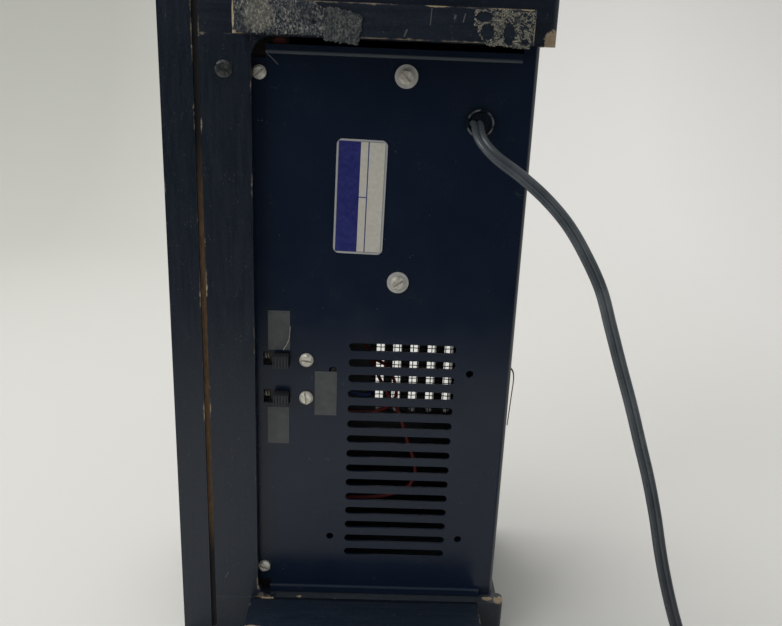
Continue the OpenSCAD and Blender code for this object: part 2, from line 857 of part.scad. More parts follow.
// A strap that goes over the core and stands on two feet
module transformer_strap() {
    half = core_l / 2;
    over = plate_in + core_h;
    foot = core_screw_spacing / 2 + 6.5;
    r = 2;
    color("#8d9090")
        difference() {
            union() {
                slab([core_x - strap_w / 2, core_x + strap_w / 2], [over, over + strap_t],
                    [core_z - half - strap_t, core_z + half + strap_t]);
                for (s = [-1, 1]) {
                    slab([core_x - strap_w / 2, core_x + strap_w / 2], [plate_in, over + 0.01],
                        s > 0 ? [core_z + half, core_z + half + strap_t] : [core_z - half - strap_t, core_z - half]);
                    slab([core_x - strap_w / 2 + r, core_x + strap_w / 2 - r], [plate_in, plate_in + strap_t],
                        s > 0 ? [core_z + half, core_z + foot] : [core_z - foot, core_z - half]);
                }
            }
            for (s = [-1, 1])
                upright(core_x, [plate_in - 1, plate_in + strap_t + 1], core_z + s * core_screw_spacing / 2, 4.6);
        }
}

washer_t = 0.9;

module transformer_screws() {
    color(zinc)
        for (s = [-1, 1])
            pan_screw(core_x, core_z + s * core_screw_spacing / 2, plate_recess - washer_t, 6.5, 2.4, 4,
                washer_t + sheet_t + strap_t + 5, s > 0 ? 45 : -35);
}

module transformer_washers() {
    color("#b8babd")
        for (s = [-1, 1])
            difference() {
                upright(core_x, [plate_recess - washer_t, plate_recess], core_z + s * core_screw_spacing / 2, 9.9);
                upright(core_x, [0, 20], core_z + s * core_screw_spacing / 2, 4.4);
            }
}

module transformer_nuts() {
    color(zinc)
        for (s = [-1, 1])
            hex_nut(core_x, plate_in + strap_t, core_z + s * core_screw_spacing / 2, 7.9, 3.2, 4);
}

// A snap-in bushing: ring, waist in the plate and barbed inner end,
// with a flat passage that grips the cord near the ring's front side
module cord_bushing() {
    wedge = bushing_d * 0.34;
    color("#14171b")
        difference() {
            union() {
                difference() {
                    union() {
                        upright(bushing_x, [plate_recess - 2, plate_recess], bushing_z, bushing_d);
                        upright(bushing_x, [plate_recess - 0.01, plate_in], bushing_z, bushing_hole_d - 0.2);
                        translate([fx(bushing_x), vy(plate_in), bushing_z])
                            rotate([-90, 0, 0])
                                cylinder(d1 = bushing_d - 0.4, d2 = bushing_hole_d - 1.4, h = 6);
                    }
                    upright(bushing_x, [plate_recess - 3, plate_recess - 0.6], bushing_z, bushing_d - 2.4);
                }
                intersection() {
                    upright(bushing_x, [plate_recess - 1.4, plate_in + 1], bushing_z, bushing_d - 2.4);
                    slab([bushing_x - wedge, bushing_x + wedge + 2], [0, 30], [bushing_z - 4, bushing_z + 4.4]);
                }
            }
            slab([cord_x - cord_w / 2 - 0.15, cord_x + cord_w / 2 + 0.15], [0, 40],
                [bushing_z - cord_t / 2 - 0.15, bushing_z + cord_t / 2 + 0.15]);
        }
}

// Sections of the cords and wires, as shares of half the width and thickness
flat_section = [[0, 0.62], [-0.4, 0.95], [-0.78, 0.9], [-1, 0], [-0.78, -0.9], [0, -0.62],
    [0.78, -0.9], [1, 0], [0.78, 0.9], [0.4, 0.95]];
coil_section = [[1, 0], [0.62, 1], [-0.62, 1], [-1, 0], [-0.62, -1], [0.62, -1]];
round_section = [for (a = [0:60:300]) [cos(a), sin(a)]];

// Rings of a section along a path; each ring's width points along its hint
module sweep(path, hints, width, thick, section) {
    n = len(path);
    loft([for (i = [0:n - 1])
        let (t = unit(path[min(i + 1, n - 1)] - path[max(i - 1, 0)]),
            w = unit(hints[i] - (hints[i] * t) * t),
            s = cross(t, w))
        [for (q = section) path[i] + w * q[0] * width / 2 + s * q[1] * thick / 2]]);
}

// A closed skin over rings that all have the same number of points
module loft(rows) {
    n = len(rows);
    m = len(rows[0]);
    rings = [for (r = rows) each r];
    sides = [for (i = [0:n - 2], k = [0:m - 1])
        let (a = i * m + k, b = i * m + (k + 1) % m)
        each [[a, a + m, b], [b, a + m, b + m]]];
    ends = [for (k = [1:m - 2]) each [[0, k, k + 1], [(n - 1) * m, (n - 1) * m + k + 1, (n - 1) * m + k]]];
    polyhedron(points = rings, faces = concat(sides, ends), convexity = 8);
}

// A smooth curve through chosen points, with extra points on each stretch
function curve_at(p, i, t) =
    let (a = p[max(i - 1, 0)], b = p[i], c = p[i + 1], d = p[min(i + 2, len(p) - 1)])
    0.5 * (2 * b + (c - a) * t + (2 * a - 5 * b + 4 * c - d) * t * t + (3 * b - a - 3 * c + d) * t * t * t);
function smooth(p, steps) = concat(
    [for (i = [0:len(p) - 2], k = [0:steps - 1]) curve_at(p, i, k / steps)], [p[len(p) - 1]]);
function path_length(p, i = 0) = i >= len(p) - 1 ? 0 : norm(p[i + 1] - p[i]) + path_length(p, i + 1);

// The coil on the floor: it spirals in, climbs a layer where it turns back,
// and spirals out again
coil_x = 166;
coil_y = -188;
coil_pitch = cord_t + coil_gap;
coil_layer = cord_w + coil_gap;
coil_total = 2 * coil_turns + 0.5;
coil_middle = coil_turns + 0.25;
coil_rings = 24;
function coil_point(t) =
    let (r = coil_inner_r + coil_pitch * abs(t - coil_middle),
        a = -360 * t,
        rise = ease(min(1, max(0, (t - coil_turns) / 0.5))))
    [coil_x + r * cos(a), coil_y + r * sin(a), cord_w / 2 + 0.05 + coil_layer * rise];
coil_loops = [for (i = [0:coil_total * coil_rings]) coil_point(i / coil_rings)];
coil_start = coil_point(0) + [0, cord_w, 0];
coil_outer = coil_inner_r + coil_pitch * coil_middle;
tail_x = coil_x - coil_outer;
plug_y = coil_y + 52;
plug_mid = plug_t / 2 + 0.05;
coil_tail = [[tail_x, coil_y + 6, coil_point(coil_total)[2]], [tail_x, coil_y + 16, 8.4],
    [tail_x, coil_y + 28, 7.2], [tail_x, coil_y + 40, plug_mid], [tail_x, plug_y - cord_w, plug_mid], [tail_x, plug_y, plug_mid]];
coil_path = concat([coil_start], coil_loops, coil_tail);
coil_hints = concat([for (i = [0:len(coil_loops)]) [0, 0, 1]],
    [[0, 0, 1], [0.4, 0, 1], [1, 0, 0.8], [1, 0, 0.2], [1, 0, 0], [1, 0, 0]]);

// The hanging stretch: out of the bushing, down beside the clock and along
// the floor to the coil. Each row is a point and whether the cord lies flat (0)
// or on edge (1).
cord_exit_point = [fx(cord_x), vy(plate_recess - cord_exit), bushing_z];
cord_route = [
    [[52.5, -60, 255], 0],
    [[58.5, -65, 248.5], 0],
    [[69.5, -69, 241], 0],
    [[79.5, -72, 233], 0],
    [[89, -75, 223], 0],
    [[97, -78, 211], 0],
    [[104.5, -80, 197], 0],
    [[109.5, -83, 182], 0],
    [[115, -85, 166], 0],
    [[120.5, -88, 150], 0],
    [[125.5, -91, 134], 0],
    [[130.5, -94, 118], 0],
    [[134.5, -98, 102], 0],
    [[138, -101, 86], 0],
    [[142, -105, 70], 0],
    [[147, -109, 54], 0],
    [[153, -115, 38], 0],
    [[162, -122, 23], 0],
    [[174, -130, 11.5], 0],
    [[187, -139, 4.4], 0],
    [[197, -150, 2.4], 0.15],
    [[203, -163, 3.0], 0.5],
    [[205, -174, 3.0], 0.9]];
// Where the bushing moves, the upper part of the route moves with it
hang_shift = cord_exit_point - [51.3, -47.7, 260.3];
hang_points = 15;
cord_points = concat([cord_exit_point, cord_exit_point + [0, -cord_w, 0]],
    [for (i = [0:len(cord_route) - 1]) cord_route[i][0] + hang_shift * max(0, 1 - i / hang_points)], [coil_start + [0, cord_w * 0.9, 0], coil_start]);
cord_flat = concat([0, 0], [for (r = cord_route) r[1]], [1, 1]);
cord_path = smooth(cord_points, 2);
cord_turn = smooth(cord_flat, 2);

module power_cord() {
    echo(str("hanging cord length ", path_length(cord_path), " mm, rings ", len(cord_path)));
    color("#3a413f")
        sweep(cord_path, [for (t = cord_turn) [1 - t, 0, t]], cord_w, cord_t, flat_section);
}

// The least gap between one turn and the next, measured on ring points
function ring_points(p, i) =
    let (t = unit(p[i + 1] - p[i - 1]), w = [0, 0, 1], s = cross(t, w))
    [for (q = coil_section) p[i] + w * q[0] * cord_w / 2 + s * q[1] * cord_t / 2];
function least_gap(p) = min([for (i = [1:2:len(p) - 2], j = [i + 18:1:min(i + 30, len(p) - 2)])
    let (a = ring_points(p, i), b = ring_points(p, j))
    for (m = a, n = b) norm(m - n)]);

module power_cord_coil() {
    echo(str("coil length ", path_length(coil_path), " mm, least gap ", least_gap(coil_loops), " mm"));
    color("#3a413f")
        sweep(coil_path, coil_hints, cord_w, cord_t, coil_section);
}

// A moulded plug: slim tail, waist and broad shoulders. Each row is a distance
// along the plug, its width and its thickness there.
plug_rows = [[0, cord_w + 1.6, cord_t + 2.2], [plug_l * 0.16, cord_w + 3, cord_t + 3.6],
    [plug_l * 0.34, plug_w * 0.56, plug_t * 0.66], [plug_l * 0.5, plug_w * 0.74, plug_t * 0.84],
    [plug_l * 0.64, plug_w * 0.9, plug_t * 0.95], [plug_l * 0.78, plug_w, plug_t],
    [plug_l - 1.6, plug_w, plug_t], [plug_l, plug_w - 2, plug_t - 2]];

module plug_body() {
    color("#2b2f31")
        loft([for (r = plug_rows) [for (a = [0:22.5:337.5])
            [tail_x + r[1] / 2 * bulge(cos(a)), plug_y + r[0], plug_mid + r[2] / 2 * bulge(-sin(a))]]]);
}

// Fuller than a cosine, so that an oval section has flat sides
function bulge(c) = sign(c) * pow(abs(c), 0.6);

module plug_blades() {
    color("#c8b26a")
        for (s = [-1, 1])
            translate([tail_x + s * blade_spacing / 2, plug_y + plug_l, plug_mid])
                difference() {
                    translate([-0.75, 0, -3.15])
                        cube([1.5, blade_l, 6.3]);
                    translate([0, blade_l - 4, 0])
                        rotate([0, 90, 0])
                            cylinder(d = 3.1, h = 4, center = true);
                }
}

// The cord inside the case: it parts into two conductors that end in wire nuts
inner_split = plate_in + 26;
inner_end = plate_in + 40;
nut_x = [cord_x - 3.6, cord_x + 7];
module inner_cord() {
    path = [for (v = [plate_recess - cord_exit + 0.4, plate_in, plate_in + 8, inner_split]) [fx(cord_x), vy(v), bushing_z]];
    color("#3a413f") {
        sweep(path, [for (p = path) [1, 0, 0]], cord_w, cord_t, flat_section);
        for (i = [0, 1])
            wire([[fx(cord_x + (i - 0.5) * cord_w * 0.5), vy(inner_split + 0.4), bushing_z],
                [fx(cord_x + (i - 0.5) * cord_w * 0.5), vy(inner_split + 4), bushing_z],
                [fx(nut_x[i]), vy(inner_end - 4), bushing_z + 0.8], [fx(nut_x[i]), vy(inner_end + 4), bushing_z + 1.2]], 2);
    }
}

module wire_nuts() {
    color("#b9a26a")
        for (u = nut_x)
            translate([fx(u), vy(inner_end), bushing_z])
                rotate([-90, 0, 0])
                    difference() {
                        cylinder(d1 = 8.6, d2 = 5.6, h = 15);
                        translate([0, 0, -1])
                            cylinder(d = 5.6, h = 7);
                    }
}

module wire(points, d) {
    path = smooth(points, 3);
    sweep(path, [for (p = path) [0.31, 0.43, 0.85]], d, d, round_section);
}

// Black leads from the winding to the wire nuts
module transformer_leads() {
    side = core_x + core_stack / 2 + winding_t;
    v = plate_in + core_h / 2;
    color("#202224")
        for (i = [0, 1])
            wire([[fx(side + 0.3), vy(v + 7 * i - 12), core_z + 8], [fx(side + 2.6), vy(v + 7 * i - 12), core_z + 8],
                [fx(side + 4), vy(v + 7 * i - 11), core_z + 11], [fx(nut_x[i]), vy(inner_end - 12), bushing_z - 7],
                [fx(nut_x[i]), vy(inner_end - 3), bushing_z - 1.7], [fx(nut_x[i]), vy(inner_end + 4), bushing_z - 1.7]], 1.5);
}

board_low = mid_z - display_l / 2;
stand_v = [window_mid - window_h / 2 - 3.4, window_mid + window_h / 2 + 3.4];
stand_w = [board_low + 6, board_low + display_l - 6];
spacer_v = [main_base + 6, main_base + main_h - 6];
spacer_w = [main_low + 26, main_low + main_l - 8];

module display_board() {
    color(board_green)
        difference() {
            slab([display_x, display_x + pcb_t], [display_base, display_top], [board_low, board_low + display_l]);
            for (v = stand_v, w = stand_w)
                level([display_x - 1, display_x + pcb_t + 1], v, w, 3.2, 24);
            for (v = spacer_v, w = spacer_w)
                level([display_x - 1, display_x + pcb_t + 1], v, w, 3.2, 24);
        }
}

// Digit modules with a raised figure of eight of seven segments each
module display_digits() {
    module_w = digit_pitch - 3;
    color("#3b2020")
        for (i = [0:digits - 1])
            digit(mid_z + (i - (digits - 1) / 2) * digit_pitch, module_w);
}

module digit(w, module_w) {
    front = display_x - digit_t;
    half = digit_h / 2;
    seg = module_w * 0.42;
    slab([front, display_x], [window_mid - half, window_mid + half], [w - module_w / 2, w + module_w / 2]);
    for (k = [-1, 0, 1])
        slab([front - 0.4, front + 0.01], [window_mid + k * half * 0.72 - 1.5, window_mid + k * half * 0.72 + 1.5],
            [w - seg / 2, w + seg / 2]);
    for (k = [-1, 1], s = [-1, 1])
        slab([front - 0.4, front + 0.01],
            [window_mid + k * half * 0.36 - half * 0.26, window_mid + k * half * 0.36 + half * 0.26],
            [w + s * (seg / 2 + 1.6) - 1.5, w + s * (seg / 2 + 1.6) + 1.5]);
}

module display_standoffs() {
    color("#b59a4a")
        for (v = stand_v, w = stand_w)
            difference() {
                level([body_start, display_x], v, w, 6);
                level([body_start - 1, display_x + 1], v, w, 2.6, 24);
            }
}

module main_board() {
    color(board_green)
        difference() {
            slab([main_x, main_x + pcb_t], [main_base, main_base + main_h], [main_low, main_low + main_l]);
            for (v = spacer_v, w = spacer_w)
                level([main_x - 1, main_x + pcb_t + 1], v, w, 3.2, 24);
        }
}

module board_spacers() {
    color("#b59a4a")
        for (v = spacer_v, w = spacer_w)
            difference() {
                level([display_x + pcb_t, main_x], v, w, 6, 6);
                level([display_x, main_x + 1], v, w, 2.6, 24);
            }
}

module board_screws() {
    color(zinc) {
        for (v = stand_v, w = stand_w) {
            level([display_x + pcb_t, display_x + pcb_t + 1.8], v, w, 5.4);
            level([bezel_t + 0.3, display_x + pcb_t + 0.01], v, w, 2.6, 24);
        }
        for (v = spacer_v, w = spacer_w) {
            level([main_x + pcb_t, main_x + pcb_t + 1.8], v, w, 5.4);
            level([main_x - 5, main_x + pcb_t + 0.01], v, w, 2.6, 24);
            level([display_x - 1.8, display_x], v, w, 5.4);
            level([display_x - 0.01, display_x + pcb_t + 5], v, w, 2.6, 24);
        }
    }
}

part_x = main_x + pcb_t;

// A height on the main board as a share of 60, so that the parts keep their order
function on_board(share) = main_base + main_h * share / 60;

// A 28 pin chip in its socket
module clock_chip() {
    length = 36;
    w0 = main_low + 46;
    v0 = on_board(24);
    color("#2a2a2c")
        union() {
            slab([part_x, part_x + 4], [v0, v0 + 16], [w0, w0 + length]);
            slab([part_x + 4, part_x + 8], [v0 + 1.2, v0 + 14.8], [w0 + 0.6, w0 + length - 0.6]);
            for (i = [0:13], s = [0, 1])
                slab([part_x + 3.9, part_x + 5.6], s == 0 ? [v0 + 0.4, v0 + 1.3] : [v0 + 14.7, v0 + 15.6],
                    [w0 + 1.2 + i * 2.54, w0 + 1.8 + i * 2.54]);
        }
}

// A row of small metal can transistors
module driver_transistors() {
    count = 9;
    color("#b0b3b0")
        for (i = [0:count - 1])
            can_transistor(main_low + 10 + i * 12);
}

module can_transistor(w) {
    v = main_base + 5;
    tip = part_x + 20;
    if (abs(w - spacer_w[0]) > 6.2 && abs(w - spacer_w[1]) > 6.2) {
        level([tip - 6, tip], v, w, 7.8, 24);
        level([tip - 6.6, tip - 5.9], v, w, 9.2, 24);
        for (a = [0, 120, 240])
            level([part_x, tip - 6.5], v + 2 * cos(a), w + 2 * sin(a), 0.6, 24);
    }
}

module filter_capacitor() {
    w = main_low + main_l - 14;
    v = on_board(34);
    color("#b7bcc0")
        difference() {
            union() {
                level([part_x, part_x + 35], v, w, 25);
                level([part_x + 34.9, part_x + 36], v, w, 23);
            }
            level([part_x + 35.4, part_x + 37], v, w, 20);
        }
}

module small_capacitors() {
    color("#2c4a6e")
        for (c = [[14, 50, 10, 18], [36, 50, 8, 14], [88, 22, 10, 18], [14, 36, 6, 12]])
            level([part_x, part_x + c[3]], on_board(c[1]), main_low + c[0], c[2], 32);
}

// Axial parts lie along the board with a wire at each end
module axial(v, w, d, l) {
    u = part_x + d / 2 + 0.6;
    translate([fx(u), vy(v), w])
        cylinder(d = d, h = l, $fn = 24);
    translate([fx(u), vy(v), w - 3])
        cylinder(d = 0.7, h = l + 6, $fn = 24);
    for (e = [w - 3, w + l + 3])
        level([part_x, u + 0.35], v, e, 0.7, 24);
}

module rectifier_diodes() {
    color("#1f1f22")
        for (i = [0:3])
            axial(on_board(11 + i * 4.5), main_low + 98, 2.8, 6);
}

module resistors() {
    color("#b08a5a")
        for (i = [0:3], j = [0, 1])
            axial(on_board(46 + j * 5), main_low + 46 + i * 15, 2.4, 6);
}

// Hook-up wires that pass behind the vent slots. The long one runs from the
// winding, behind the slots, to the lower end of the main board.
terminal_end = plate_in + switch_can_h + switch_base_t + terminal_l;
winding_side = core_x - core_stack / 2 - winding_t;
module red_wires() {
    color("#8c1f1f") {
        wire([[fx(winding_side - 0.3), vy(36), core_z - 13], [fx(winding_side - 2.6), vy(36), core_z - 13],
            [fx(winding_side - 4), vy(37), core_z - 17], [fx(winding_side - 3.6), vy(39), core_z - 28],
            [fx(78), vy(40), core_z - 48], [fx(84), vy(38.5), core_z - 73], [fx(92), vy(32), vent_top - 15.7],
            [fx(100), vy(21), vent_top - 28.7], [fx(106.5), vy(18), vent_top - 38.2], [fx(111.5), vy(18), vent_top - 53.7],
            [fx(116), vy(18), vent_top - 67.7], [fx(114), vy(20), vent_top - 79.7], [fx(104), vy(22), vent_top - 86.7],
            [fx(90), vy(22), vent_top - 88.7], [fx(76), vy(24), vent_top - 89.7], [fx(part_x + 4.5), vy(32), main_low + 21.5],
            [fx(part_x + 2.4), vy(34), main_low + 20], [fx(part_x + 0.3), vy(34), main_low + 20]], 1.8);
        wire([[fx(switch_mid), vy(terminal_end + 0.3), fast_z + 2.8], [fx(switch_mid), vy(terminal_end + 2.4), fast_z + 2.8],
            [fx(switch_mid + 3), vy(terminal_end + 3), fast_z + 1.6], [fx(60), vy(24), 126], [fx(70), vy(20), 120],
            [fx(81), vy(18.5), 117.5], [fx(92.5), vy(18.5), 117.3], [fx(101), vy(20), 120], [fx(105), vy(25), 126],
            [fx(99), vy(36), main_low + 95], [fx(80), vy(43), main_low + 97], [fx(part_x + 4.5), vy(42.5), main_low + 94],
            [fx(part_x + 2.4), vy(42), main_low + 92.5], [fx(part_x + 0.3), vy(42), main_low + 92.5]], 1.8);
    }
}

module blue_wire() {
    color("#23408c")
        wire([[fx(switch_mid), vy(terminal_end + 0.3), slow_z - 2.8], [fx(switch_mid), vy(terminal_end + 2.4), slow_z - 2.8],
            [fx(switch_mid + 3), vy(terminal_end + 3), slow_z - 4], [fx(60), vy(24), 139], [fx(72), vy(21), 132],
            [fx(84), vy(19), 127], [fx(91), vy(19), 126.5], [fx(91), vy(24), 127.5], [fx(86), vy(33), main_low + 82],
            [fx(76), vy(39), main_low + 79.5], [fx(part_x + 4.5), vy(40), main_low + 80],
            [fx(part_x + 2.4), vy(39.5), main_low + 79.5], [fx(part_x + 0.3), vy(39.5), main_low + 79.5]], 1.8);
}

left_end_panel();
right_end_panel();
top_panel();
bottom_front_rail();
front_corner_blocks();
rear_corner_blocks();
front_bezel();
hardboard_backing();
display_window();
vent_screen();
left_foot();
right_foot();
foot_pads();
rail_wood_screw();
chassis_pan();
chassis_front_screws();
chassis_rear_screws();
data_plate();
legend_tags();
slow_switch_housing();
slow_switch_slider();
slow_switch_spring();
slow_switch_terminals();
fast_switch_housing();
fast_switch_slider();
fast_switch_spring();
fast_switch_terminals();
switch_screws();
switch_nuts();
transformer_core();
transformer_winding();
transformer_strap();
transformer_screws();
transformer_washers();
transformer_nuts();
cord_bushing();
power_cord();
power_cord_coil();
plug_body();
plug_blades();
inner_cord();
wire_nuts();
transformer_leads();
display_board();
display_digits();
display_standoffs();
main_board();
board_spacers();
board_screws();
clock_chip();
driver_transistors();
filter_capacitor();
small_capacitors();
rectifier_diodes();
resistors();
red_wires();
blue_wire();
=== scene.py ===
import math

import bpy
from mathutils import Matrix, Vector, noise

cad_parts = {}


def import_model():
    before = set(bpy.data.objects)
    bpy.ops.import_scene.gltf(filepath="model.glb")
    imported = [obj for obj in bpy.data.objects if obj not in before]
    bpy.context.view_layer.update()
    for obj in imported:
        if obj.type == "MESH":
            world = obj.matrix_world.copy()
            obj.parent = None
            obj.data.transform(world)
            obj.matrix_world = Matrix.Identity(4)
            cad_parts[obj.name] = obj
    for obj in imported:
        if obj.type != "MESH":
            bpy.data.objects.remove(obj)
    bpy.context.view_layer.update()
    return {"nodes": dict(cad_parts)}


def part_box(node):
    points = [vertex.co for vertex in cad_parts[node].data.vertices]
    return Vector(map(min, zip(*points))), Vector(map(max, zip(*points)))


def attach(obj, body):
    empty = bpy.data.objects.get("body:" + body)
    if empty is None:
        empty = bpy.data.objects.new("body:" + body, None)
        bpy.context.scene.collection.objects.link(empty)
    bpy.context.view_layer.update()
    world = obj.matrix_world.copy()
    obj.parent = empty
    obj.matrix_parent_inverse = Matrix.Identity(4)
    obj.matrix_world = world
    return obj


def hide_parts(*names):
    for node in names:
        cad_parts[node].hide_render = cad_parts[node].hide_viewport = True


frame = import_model()
NODES = frame["nodes"]


# Places are in clock millimetres: u behind the front face, v above the wooden underside and w from the
# left end. Their zero is the low corner of the bezel.
ZERO = [round(c * 1000, 1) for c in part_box("front_bezel")[0]]


def face(name, end, i):
    """The low (0) or high (1) face of a CAD node along axis i, in clock mm."""
    return round(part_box(name)[end][i] * 1000 - ZERO[i], 1)


LEFT_INNER = face("left_end_panel", 1, 2)
RIGHT_INNER = face("right_end_panel", 0, 2)
RIGHT_FOOT_OUTER = face("right_foot", 1, 2)
FOOT_SOLE = face("right_foot", 0, 1)
BACK_WALL = face("chassis_pan", 1, 0)
BACK_TOP = face("chassis_pan", 1, 1)
PLATE = face("chassis_pan", 0, 1) + 2  # the plate lies deeper than its flanges
JOGGLE = face("chassis_pan", 1, 2) - 3.2  # where the right flange steps down to the plate


def x_at(u):
    """Metres along X of a distance in mm behind the clock's front face."""
    return (u + ZERO[0]) / 1000


def y_at(v):
    """Metres along Y of a height in mm above the wooden underside."""
    return (v + ZERO[1]) / 1000


def at(u, v, w):
    """A point in metres from clock millimetres."""
    return Vector((x_at(u), y_at(v), w / 1000))


def glide(a, b, c, d, t):
    """A smooth way from b to c as t runs from 0 to 1, with a and d as the neighbours."""
    square, cube = 2 * a - 5 * b + 4 * c - d, 3 * b - a - 3 * c + d
    return 0.5 * (2 * b + (c - a) * t + square * t * t + cube * t ** 3)


def four_around(points, i):
    """The points i - 1 to i + 2, with the ends repeated."""
    return (points[min(max(j, 0), len(points) - 1)] for j in (i - 1, i, i + 1, i + 2))


def along(points, i):
    """The direction of a path at its point i."""
    return (points[min(i + 1, len(points) - 1)] - points[max(i - 1, 0)]).normalized()


# Shader helpers
class Shader:
    """A Principled material with short calls for its node tree."""

    def __init__(self, name, color=(0.5, 0.5, 0.5), rough=0.5, metal=0.0, spec=0.5):
        self.mat = bpy.data.materials.new(name)
        self.mat.use_nodes = True
        self.nt = self.mat.node_tree
        self.bsdf = self.nt.nodes["Principled BSDF"]
        self.set("Base Color", (*color, 1))
        self.set("Roughness", rough)
        self.set("Metallic", metal)
        self.set("Specular IOR Level", spec)
        self._coord = None

    def set(self, name, value):
        """Gives an input of the material a value or a link."""
        self.put(self.bsdf.inputs[name], value)

    def put(self, socket, value):
        """Links a socket to another one, or sets its value."""
        if isinstance(value, bpy.types.NodeSocket):
            self.nt.links.new(value, socket)
        else:
            socket.default_value = value

    def node(self, kind, props=None, **ins):
        """A new node. Inputs go by name, or by place as i0, i1 and so on."""
        n = self.nt.nodes.new("ShaderNode" + kind)
        for k, v in (props or {}).items():
            setattr(n, k, v)
        for k, v in ins.items():
            by_place = k[0] == "i" and k[1:].isdigit()
            self.put(n.inputs[int(k[1:]) if by_place else k], v)
        return n

    def coord(self):
        """Places on the object, in metres."""
        if self._coord is None:
            self._coord = self.node("TexCoord").outputs["Object"]
        return self._coord

    def stretch(self, scale, turn=(0, 0, 0)):
        return self.node("Mapping", Vector=self.coord(), Scale=scale, Rotation=turn).outputs[0]

    def noise(self, scale, detail=4, rough=0.55, vec=None, dist=0.0):
        return self.node("TexNoise", Vector=vec or self.coord(), Scale=scale, Detail=detail,
                         Roughness=rough, Distortion=dist).outputs["Fac"]

    def voronoi(self, scale, vec=None, feature="F1"):
        return self.node("TexVoronoi", {"feature": feature}, Vector=vec or self.coord(),
                         Scale=scale).outputs["Distance"]

    def wave(self, scale, vec, dist, detail, axis):
        return self.node("TexWave", {"bands_direction": axis}, Vector=vec, Scale=scale,
                         Distortion=dist, Detail=detail).outputs["Fac"]

    def math(self, op, a, b=0.0):
        return self.node("Math", {"operation": op}, i0=a, i1=b).outputs[0]

    def add(self, a, b):
        return self.math("ADD", a, b)

    def sub(self, a, b):
        return self.math("SUBTRACT", a, b)

    def mul(self, a, b):
        return self.math("MULTIPLY", a, b)

    def apart(self, a, b):
        """How far two values are apart."""
        return self.math("ABSOLUTE", self.sub(a, b))

    def span(self, value, lo, hi, a=0.0, b=1.0):
        """Maps lo..hi to a..b, clamped."""
        return self.node("MapRange", i0=value, i1=lo, i2=hi, i3=a, i4=b).outputs[0]

    def line(self, value, centre, full, none):
        """1 nearer to centre than full, 0 further off than none."""
        return self.span(self.apart(value, centre), full, none, 1, 0)

    def window(self, i, rise, fall):
        """A mask along one axis that comes up over the span rise and goes down over fall."""
        return self.mul(self.span(self.axis(i), *rise), self.span(self.axis(i), *fall, 1, 0))

    def mix(self, fac, a, b):
        """A colour from a at 0 to b at 1."""
        n = self.node("Mix", {"data_type": "RGBA"})
        self.put(n.inputs[0], fac)
        for i, c in ((6, a), (7, b)):
            self.put(n.inputs[i], c if isinstance(c, bpy.types.NodeSocket) else (*c, 1))
        return n.outputs[2]

    def axis(self, i):
        return self.node("SeparateXYZ", Vector=self.coord()).outputs[i]

    def spot(self, centre, radii, ragged=0.5):
        """A ragged blob round a point with radii in mm, 1 inside and 0 outside."""
        d = 0.0
        for i in range(3):
            step = self.math("DIVIDE", self.sub(self.axis(i), centre[i]), radii[i] / 1000)
            d = self.add(self.mul(step, step), d)
        d = self.add(d, self.mul(self.sub(self.noise(700, 3, 0.6), 0.5), 4 * ragged))
        return self.span(d, 0.75, 1.0, 1, 0)

    def scratch(self, a, b, width):
        """A thin line in the XZ plane from a to b, as a mask."""
        run = b - a
        length = math.hypot(run.x, run.z)
        dx, dz = run.x / length, run.z / length
        x, z = self.sub(self.axis(0), a.x), self.sub(self.axis(2), a.z)
        run_on = self.add(self.mul(x, dx), self.mul(z, dz))
        off = self.apart(self.mul(x, dz), self.mul(z, dx))
        soft = 0.0003
        inside = self.mul(self.span(run_on, 0, soft), self.span(run_on, length - soft, length, 1, 0))
        return self.mul(inside, self.span(off, width * 0.4, width, 1, 0))

    def bump(self, height, strength, dist):
        """Adds relief on top of the relief that is there."""
        n = self.node("Bump", Height=height, Strength=strength, Distance=dist)
        old = self.bsdf.inputs["Normal"].links
        if old:
            self.nt.links.new(old[0].from_socket, n.inputs["Normal"])
        self.set("Normal", n.outputs[0])

    def edge(self, lo, hi):
        """Distance in metres from the nearest edge of a box, on its faces."""
        d = []
        for i in range(3):
            middle, half = (lo[i] + hi[i]) / 2, (hi[i] - lo[i]) / 2
            d.append(self.sub(half, self.apart(self.axis(i), middle)))
        a, b, c = d
        low, high = self.math("MINIMUM", a, b), self.math("MAXIMUM", a, b)
        return self.math("MAXIMUM", low, self.math("MINIMUM", high, c))


def give(name, shader):
    """Puts one material on a CAD node or a piece."""
    o = NODES[name] if isinstance(name, str) else name
    o.data.materials.clear()
    o.data.materials.append(shader.mat)
    for p in o.data.polygons if o.type == "MESH" else []:
        p.material_index = 0
    return o


def new_mesh(name, verts, faces, smooth=True):
    """A new piece of the scene."""
    me = bpy.data.meshes.new(name)
    me.from_pydata([tuple(v) for v in verts], [], faces)
    me.validate()
    me.update()
    o = bpy.data.objects.new(name, me)
    bpy.context.scene.collection.objects.link(o)
    for p in me.polygons:
        p.use_smooth = smooth
    return o


def on_case(o, shader):
    """Gives a scene piece its material and lets it ride on the case."""
    give(o, shader)
    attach(o, "case")


# Camera
def camera():
    """Looks along +Y, turned a little, tipped down and rolled."""
    place = (0.0100, -0.4003, 0.2861)
    turns = ((-1.34, "Z"), (-17.65, "X"), (-2.33, "Y"), (90, "X"))
    data = bpy.data.cameras.new("view")
    cam = bpy.data.objects.new("view", data)
    bpy.context.scene.collection.objects.link(cam)
    data.sensor_width = 36
    data.lens = 37.0
    data.clip_start, data.clip_end = 0.01, 20
    pose = Matrix.Translation(place)
    for degrees, axis in turns:
        pose = pose @ Matrix.Rotation(math.radians(degrees), 4, axis)
    cam.matrix_world = pose
    bpy.context.scene.camera = cam


camera()
bpy.context.scene.view_settings.view_transform = "Standard"


